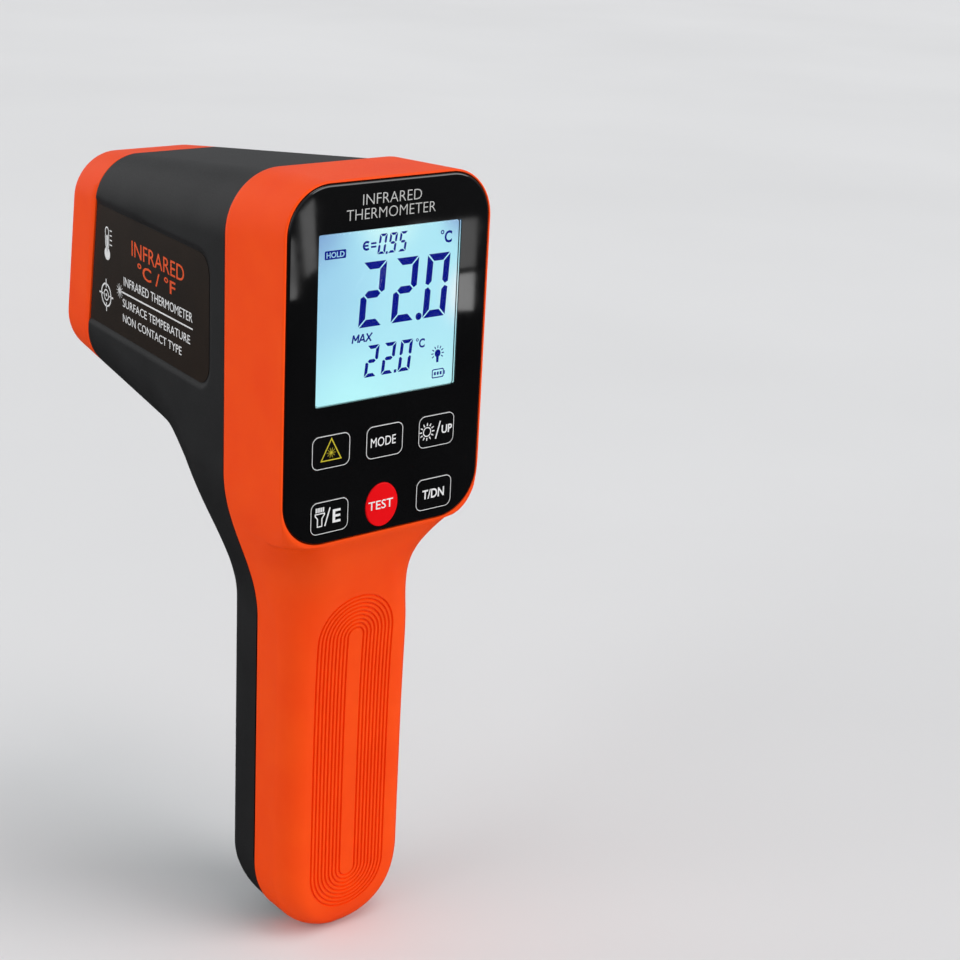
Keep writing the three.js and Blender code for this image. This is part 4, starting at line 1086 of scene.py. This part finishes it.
def blade_front(z):
    """Depth of the finger side of the trigger at a height."""
    points = sorted((p[1], p[0]) for p in curve_points((57.4, -55), (53.6, -62), (54.2, -71), 40))
    return float(np.interp(z, [p[0] for p in points], [p[1] for p in points])) + 0.1


def make_screws():
    for name, z in (("handle_screw_upper", SCREW_ROWS[0]), ("handle_screw_lower", SCREW_ROWS[1])):
        seat = screw_seat(z)
        profile = [(15.5, 0.9), (16.3, 1.3), (seat, 1.3), (seat, 2.45), (seat + 0.25, 2.6), (seat + 1.1, 2.6),
                   (seat + 1.55, 2.35), (seat + 1.76, 1.7), (seat + 1.8, 0.8), (seat + 1.8, 0.01)]
        screw = revolve(profile, (0, 0, z), (0, 1, 0), 48)
        for half_x, half_z in ((1.35, 0.3), (0.3, 1.35)):
            cross = block((-half_x, half_x), (seat + 0.7, seat + 3), (z - half_z, z + half_z))
            cut(screw, cross)
        dress(screw, name + "_turned", "steel", hides=name)


def make_battery():
    """A block battery: dark jacket, copper band, steel end plate and two terminals."""
    half, rear, front, corner = BATTERY["half"], BATTERY["rear"], BATTERY["front"], 1.6
    low, band, high = BATTERY["bottom"], BATTERY["band"], BATTERY["top"]

    def section(inset):
        return rectangle(half - inset, rear + inset, front - inset, max(corner - inset, 0.2), steps=6)

    jacket = stepped(section, [(low, 1.0), (low + 0.25, 0.3), (low + 1.0, 0), (band, 0)], 2)
    dress(jacket, "battery_lower_jacket", "battery_jacket", hides="battery")
    shoulder = [(band, 0), (high - 1.2, 0), (high - 0.7, 0.15), (high - 0.5, 0.5), (high - 0.5, 1.2)]
    upper = stepped(section, shoulder, 2)
    dress(upper, "battery_band", "battery_jacket", paint="copper_film")
    plate = stepped(section, [(high - 0.6, 1.15), (high - 0.1, 1.15), (high, 1.3)], 2)
    dress(plate, "battery_end_plate", "battery_jacket", paint="steel")
    for side, radius in ((-1, 2.8), (1, 3.6)):
        cup = [(-0.1, radius), (2.1, radius), (2.4, radius - 0.3), (2.4, radius - 0.9), (0.7, radius - 1.1),
               (0.7, 0.02)]
        terminal = revolve(cup, (side * 6.3, (rear + front) / 2, high), (0, 0, 1), 36)
        dress(terminal, f"battery_terminal_{side + 2}", "battery_jacket", paint="steel")
    marks = Print()
    marks.shape(at(rectangle(1.7, -0.35, 0.35, 0.1, steps=2), (-6.3, high - 6)))
    plus = [(0.35, 0.35), (0.35, 1.7), (-0.35, 1.7), (-0.35, 0.35), (-1.7, 0.35), (-1.7, -0.35)]
    marks.shape(at(plus + [(-u, -v) for u, v in plus], (6.3, high - 6)))
    for z in (band - 1.2, low + 6, low + 7.4):
        marks.shape(at(rectangle(half - corner, -0.3, 0.3, 0.1, steps=2), (0, z)))

    def facing_front(points):
        return np.stack([points[:, 0], front + PRINT_HEIGHT * points[:, 2], points[:, 1]], axis=1)
    marks.lay(facing_front, "battery_marks", "battery_jacket", "print_white")


# ---------- Materials ----------


def colour(code):
    parts = [int(code[i:i + 2], 16) / 255 for i in (0, 2, 4)]
    return tuple(p / 12.92 if p <= 0.04045 else ((p + 0.055) / 1.055) ** 2.4 for p in parts) + (1.0,)


class Paint:
    """A Principled material whose colour, roughness and relief come from noise in the piece's space."""

    def __init__(self, name):
        self.material = bpy.data.materials.new(name)
        self.material.use_nodes = True
        self.nodes, self.links = self.material.node_tree.nodes, self.material.node_tree.links
        self.shader = self.nodes["Principled BSDF"]
        self.space = self.nodes.new("ShaderNodeTexCoord").outputs["Object"]

    def set(self, socket, value):
        self.shader.inputs[socket].default_value = value

    def noise(self, size_mm, detail=2.0, stretch=(1, 1, 1)):
        scaled = self.nodes.new("ShaderNodeMapping")
        scaled.inputs["Scale"].default_value = stretch
        self.links.new(self.space, scaled.inputs["Vector"])
        made = self.nodes.new("ShaderNodeTexNoise")
        made.inputs["Scale"].default_value = 1000 / size_mm
        made.inputs["Detail"].default_value = detail
        self.links.new(scaled.outputs["Vector"], made.inputs["Vector"])
        return made.outputs["Fac"]

    def between(self, factor, low, high, start=0.3, end=0.7):
        ranged = self.nodes.new("ShaderNodeMapRange")
        for key, value in (("From Min", start), ("From Max", end), ("To Min", low), ("To Max", high)):
            ranged.inputs[key].default_value = value
        self.links.new(factor, ranged.inputs["Value"])
        return ranged.outputs["Result"]

    def blend(self, factor, first, second):
        mixed = self.nodes.new("ShaderNodeMix")
        mixed.data_type = "RGBA"
        self.links.new(factor, mixed.inputs[0])
        for socket, value in ((mixed.inputs[6], first), (mixed.inputs[7], second)):
            if hasattr(value, "links"):
                self.links.new(value, socket)
            else:
                socket.default_value = value
        return mixed.outputs[2]

    def into(self, source, target):
        self.links.new(source, self.shader.inputs[target])

    def relief(self, factor, height_mm):
        bump = self.nodes.new("ShaderNodeBump")
        bump.inputs["Strength"].default_value = 1.0
        bump.inputs["Distance"].default_value = height_mm / 1000
        self.links.new(factor, bump.inputs["Height"])
        self.links.new(bump.outputs["Normal"], self.shader.inputs["Normal"])


def moulded(name, light, dark, roughness, grain_mm, height_mm, broad_mm=14, metallic=0.0, stretch=(1, 1, 1),
            specular=0.5, spread=0.05):
    paint = Paint(name)
    paint.set("Metallic", metallic)
    paint.set("Specular IOR Level", specular)
    broad = paint.noise(broad_mm, 3)
    fine = paint.noise(grain_mm, 2, stretch)
    paint.into(paint.blend(paint.between(broad, 0, 1), colour(light), colour(dark)), "Base Color")
    paint.into(paint.between(fine, roughness - spread, roughness + spread), "Roughness")
    paint.relief(fine, height_mm)
    return paint


def glow(name):
    """The lit display: pale cyan, bluer in its upper corners and whiter at the top and lower left."""
    paint = moulded(name, "B4E4F0", "ACDDEE", 0.5, 0.6, 0.0002, specular=0.2)

    def near(x, z, radius):
        away = paint.nodes.new("ShaderNodeVectorMath")
        away.operation = "DISTANCE"
        paint.links.new(paint.space, away.inputs[0])
        away.inputs[1].default_value = tuple(np.array([x, 0.7, z]) / 1000 + ORIGIN)
        fade = paint.between(away.outputs["Value"], 1, 0, 0, radius / 1000)
        fade.node.interpolation_type = "SMOOTHERSTEP"
        return fade

    tone = colour("B0EAF8")
    for x, z, radius, code in ((-22, 8, 30, "9ED3EE"), (-8, -26, 26, "BDFDFF"), (14, -24, 24, "BDF6FA"),
                               (0, 22, 13, "D2FBFB"), (-21, 21, 15, "7FA6D4"), (20, 21, 9, "92B4DC"),
                               (24, 2, 12, "F8FDFF")):
        tone = paint.blend(near(x, z, radius), tone, colour(code))
    weave = paint.noise(0.35, 1)
    tone = paint.blend(paint.between(weave, 0, 0.05), tone, colour("8FCFE6"))
    paint.into(tone, "Emission Color")
    paint.set("Emission Strength", 0.96)
    paint.set("Base Color", colour("203038"))
    paint.links.remove(paint.shader.inputs["Base Color"].links[0])
    return paint


def clear(name, tint, hazed, roughness, ior):
    paint = Paint(name)
    for socket, value in (("Roughness", roughness), ("IOR", ior), ("Transmission Weight", 1.0)):
        paint.set(socket, value)
    haze = paint.between(paint.noise(9, 2), 0, 1)
    paint.into(paint.blend(haze, colour(tint), colour(hazed)), "Base Color")
    return paint


PAINTS = {}


def make_paints():
    PAINTS.update({
        "orange_plastic": moulded("orange_satin", "FF5008", "FB4805", 0.44, 0.28, 0.005, specular=0.14),
        "black_plastic": moulded("soft_black", "272728", "222223", 0.5, 0.25, 0.008, specular=0.2),
        "gloss_black": moulded("piano_black", "080809", "0B0B0C", 0.035, 9.0, 0.0015, spread=0.015),
        "red_plastic": moulded("red_gloss", "EC000C", "E4000A", 0.35, 0.6, 0.0006, specular=0.1),
        "label_film": moulded("label_film", "24170C", "1D1209", 0.45, 0.22, 0.004, specular=0.3),
        "white_plastic": moulded("white_plastic", "E9E9E5", "DDDDD8", 0.5, 0.3, 0.004),
        "rubber": moulded("rubber", "333335", "29292B", 0.85, 0.3, 0.02),
        "circuit_board": moulded("circuit_board", "1F6238", "174C2B", 0.45, 0.5, 0.02, broad_mm=3),
        "chip_black": moulded("chip_black", "1B1B1D", "141416", 0.55, 0.15, 0.01),
        "steel": moulded("steel", "BFC1C3", "A7A9AB", 0.28, 0.2, 0.004, metallic=1.0, stretch=(1, 6, 1)),
        "brass": moulded("brass", "C49A50", "AE8440", 0.32, 0.2, 0.004, metallic=1.0, stretch=(1, 6, 1)),
        "aluminium": moulded("aluminium", "A9ABAE", "8F9194", 0.35, 0.2, 0.004, metallic=1.0),
        "mirror": moulded("mirror_finish", "E4E6E8", "D8DADC", 0.12, 0.4, 0.002, metallic=1.0),
        "battery_jacket": moulded("battery_jacket", "34558A", "28477A", 0.35, 0.6, 0.003, broad_mm=5),
        "copper_film": moulded("copper_film", "C98A55", "BA7B48", 0.3, 0.4, 0.003, metallic=1.0),
        "wire_red": moulded("wire_red", "B61A1A", "9E1414", 0.45, 0.5, 0.004),
        "wire_black": moulded("wire_black", "181818", "101010", 0.45, 0.5, 0.004),
        "lcd_glass": glow("lcd_backlit"),
        "clear_plastic": clear("clear_acrylic", "F4F8F9", "EEF4F5", 0.03, 1.49),
        "window": clear("window_acrylic", "FFFFFF", "FCFEFE", 0.0, 1.2),
        "lens_glass": clear("lens_crystal", "7C4A5A", "734553", 0.02, 2.0),
        "print_white": moulded("print_white", "F0F0F0", "E4E4E4", 0.5, 0.2, 0.002),
        "print_grey": moulded("print_grey", "C8C8C6", "BCBCBA", 0.5, 0.2, 0.002),
        "print_yellow": moulded("print_yellow", "D8C81E", "C4B414", 0.5, 0.2, 0.002),
        "print_orange": moulded("print_orange", "F2560F", "E24C0A", 0.5, 0.2, 0.002),
        "lcd_ink": moulded("lcd_ink", "040A4A", "03083E", 0.5, 0.2, 0.001, specular=0.0),
    })
    PAINTS["lcd_ink"].set("Emission Color", colour("0216A4"))
    PAINTS["lcd_ink"].set("Emission Strength", 0.5)


def dress(made, name, slot, hides=None, sharp=38, paint=None, body="housing"):
    """Turns a body into a finished piece: in place, smooth but for its real edges, painted and riding."""
    mesh = made.data
    mesh.transform(Matrix.Translation(Vector(ORIGIN)) @ Matrix.Scale(0.001, 4))
    work = bmesh.new()
    work.from_mesh(mesh)
    limit = math.radians(sharp)
    for face in work.faces:
        face.smooth = True
    for edge in work.edges:
        if len(edge.link_faces) == 2 and edge.calc_face_angle(0) > limit:
            edge.smooth = False
    work.to_mesh(mesh)
    work.free()
    made.name, mesh.name = name, name
    mesh.materials.clear()
    mesh.materials.append(PAINTS[paint or slot].material)
    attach(made, body)
    if hides:
        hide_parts(hides)


def paint_nodes():
    """The CAD nodes that stay get the material of their slot."""
    slots = {row["node"]: row["material_slot"] for row in frame["record"]["subparts"]}
    for name, node in frame["nodes"].items():
        for material_slot in node.material_slots:
            material_slot.material = PAINTS[slots[name]].material


# ---------- Camera, lights and floor ----------


def make_camera():
    yaw, down_angle, roll = 0.702884619, 0.340272257, -0.0530845428
    forward = np.array([math.sin(yaw) * math.cos(down_angle), math.cos(yaw) * math.cos(down_angle),
                        -math.sin(down_angle)])
    level = np.array([math.cos(yaw), -math.sin(yaw), 0])
    down = np.cross(forward, level)
    right = math.cos(roll) * level + math.sin(roll) * down
    up = math.sin(roll) * level - math.cos(roll) * down
    data = bpy.data.cameras.new("camera")
    data.lens, data.sensor_width = 72.756, 36
    data.clip_start, data.clip_end = 0.01, 100
    camera = link("camera", data)
    place = Matrix(np.column_stack([right, up, -forward]).tolist()).to_4x4()
    place.translation = Vector(np.array(CAMERA_AT) / 1000 + ORIGIN)
    camera.matrix_world = place
    bpy.context.scene.camera = camera


def soft_light(name, towards, energy, spread, tint=(1, 1, 1)):
    """A broad, even light from far away in one direction."""
    data = bpy.data.lights.new(name, "SUN")
    data.energy, data.angle, data.color = energy, math.radians(spread), tint
    light = link(name, data)
    light.matrix_world = Vector(towards).to_track_quat("Z", "Y").to_matrix().to_4x4()


def make_world():
    """Soft light from all round, darker below the horizon, where the floor is."""
    world = bpy.data.worlds.new("studio")
    bpy.context.scene.world = world
    world.use_nodes = True
    nodes, links = world.node_tree.nodes, world.node_tree.links
    space = nodes.new("ShaderNodeTexCoord").outputs["Generated"]
    apart = nodes.new("ShaderNodeSeparateXYZ")
    links.new(space, apart.inputs["Vector"])
    ranged = nodes.new("ShaderNodeMapRange")
    for key, value in (("From Min", -0.25), ("From Max", 0.35), ("To Min", 0.03), ("To Max", 0.5)):
        ranged.inputs[key].default_value = value
    links.new(apart.outputs["Z"], ranged.inputs["Value"])
    links.new(ranged.outputs["Result"], nodes["Background"].inputs["Strength"])
    nodes["Background"].inputs["Color"].default_value = (0.95, 0.98, 1, 1)


def reflection(name, corners, strength):
    """A small card seen mirrored in the panel, where its corners (x, z) lie from the camera."""
    eye = np.array([CAMERA_AT[0], -CAMERA_AT[1] + 2 * PANEL_FACE_Y, CAMERA_AT[2]])
    lit_card(name, [2 * np.array([x, PANEL_FACE_Y, z]) - eye for x, z in corners], strength)


def lit_card(name, points, strength):
    """A glowing card that only glossy faces see."""
    mesh = bpy.data.meshes.new(name)
    mesh.from_pydata((np.array(points) / 1000 + ORIGIN).tolist(), [], [tuple(range(len(points)))])
    card = link(name, mesh)
    material = bpy.data.materials.new(name)
    material.use_nodes = True
    shader = material.node_tree.nodes["Principled BSDF"]
    shader.inputs["Base Color"].default_value = (0, 0, 0, 1)
    shader.inputs["Emission Color"].default_value = (1, 1, 1, 1)
    shader.inputs["Emission Strength"].default_value = strength
    mesh.materials.append(material)
    card.visible_camera = card.visible_diffuse = card.visible_shadow = False
    card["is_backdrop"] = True


def make_studio():
    soft_light("right", (0.62, -0.8, 0.45), 1.5, 40)
    soft_light("left", (-0.9, 0.1, 0.35), 0.85, 45)
    soft_light("front", (-0.3, 0.9, 0.25), 0.3, 50)
    soft_light("overhead", (0.12, -0.32, 0.94), 0.6, 30, (1.0, 0.9, 0.88))
    lit_card("edge_card", [(330, 110, -150), (430, 320, -150), (430, 320, 120), (330, 110, 120)], 2.2)
    make_world()
    reflection("window_upper", [(5, 19.5), (24.4, 19.5), (24.4, 8), (5, 8)], 1.6)
    reflection("window_lower", [(14.5, 6.6), (24.4, 6.6), (24.4, -2.5), (14.5, -1.5)], 4.2)
    reflection("shard_inner", [(-25, 25), (-21.4, 28), (-20.2, 12.6), (-23.2, 10.5)], 2.0)
    reflection("shard_outer", [(-27.6, 19.6), (-26.4, 19.6), (-25.2, 7.5), (-25.6, 6.2), (-27.6, 6.2)], 2.4)
    mesh = bpy.data.meshes.new("floor")
    radius, sides = 30, 96
    rim = [(radius * math.cos(a), radius * math.sin(a), 0) for a in np.linspace(0, 2 * np.pi, sides, False)]
    mesh.from_pydata(rim, [], [tuple(range(sides))])
    floor = link("floor", mesh)
    paint = moulded("pale_floor", "E4E5E6", "DFE0E1", 0.9, 8, 0.02, broad_mm=400, specular=0.0)
    mesh.materials.append(paint.material)
    floor.visible_glossy = False
    floor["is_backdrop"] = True
    bpy.context.scene.view_settings.view_transform = "Standard"


def build():
    make_paints()
    paint_nodes()
    make_rear_shell()
    make_front_shell()
    make_nose_ring()
    make_nose_plate()
    make_lens()
    make_nose_windows()
    make_panel()
    make_keys()
    make_display_print()
    make_legends()
    make_laser_symbol()
    for side, name in ((-1, "side_label_left"), (1, "side_label_right")):
        make_label(side, name)
    make_trigger()
    make_screws()
    make_battery()


make_camera()
make_studio()
build()

boxes = {"cad": cad_bounds, "visual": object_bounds()}
{key: [[float(v) for v in corner] for corner in box] for key, box in boxes.items()}
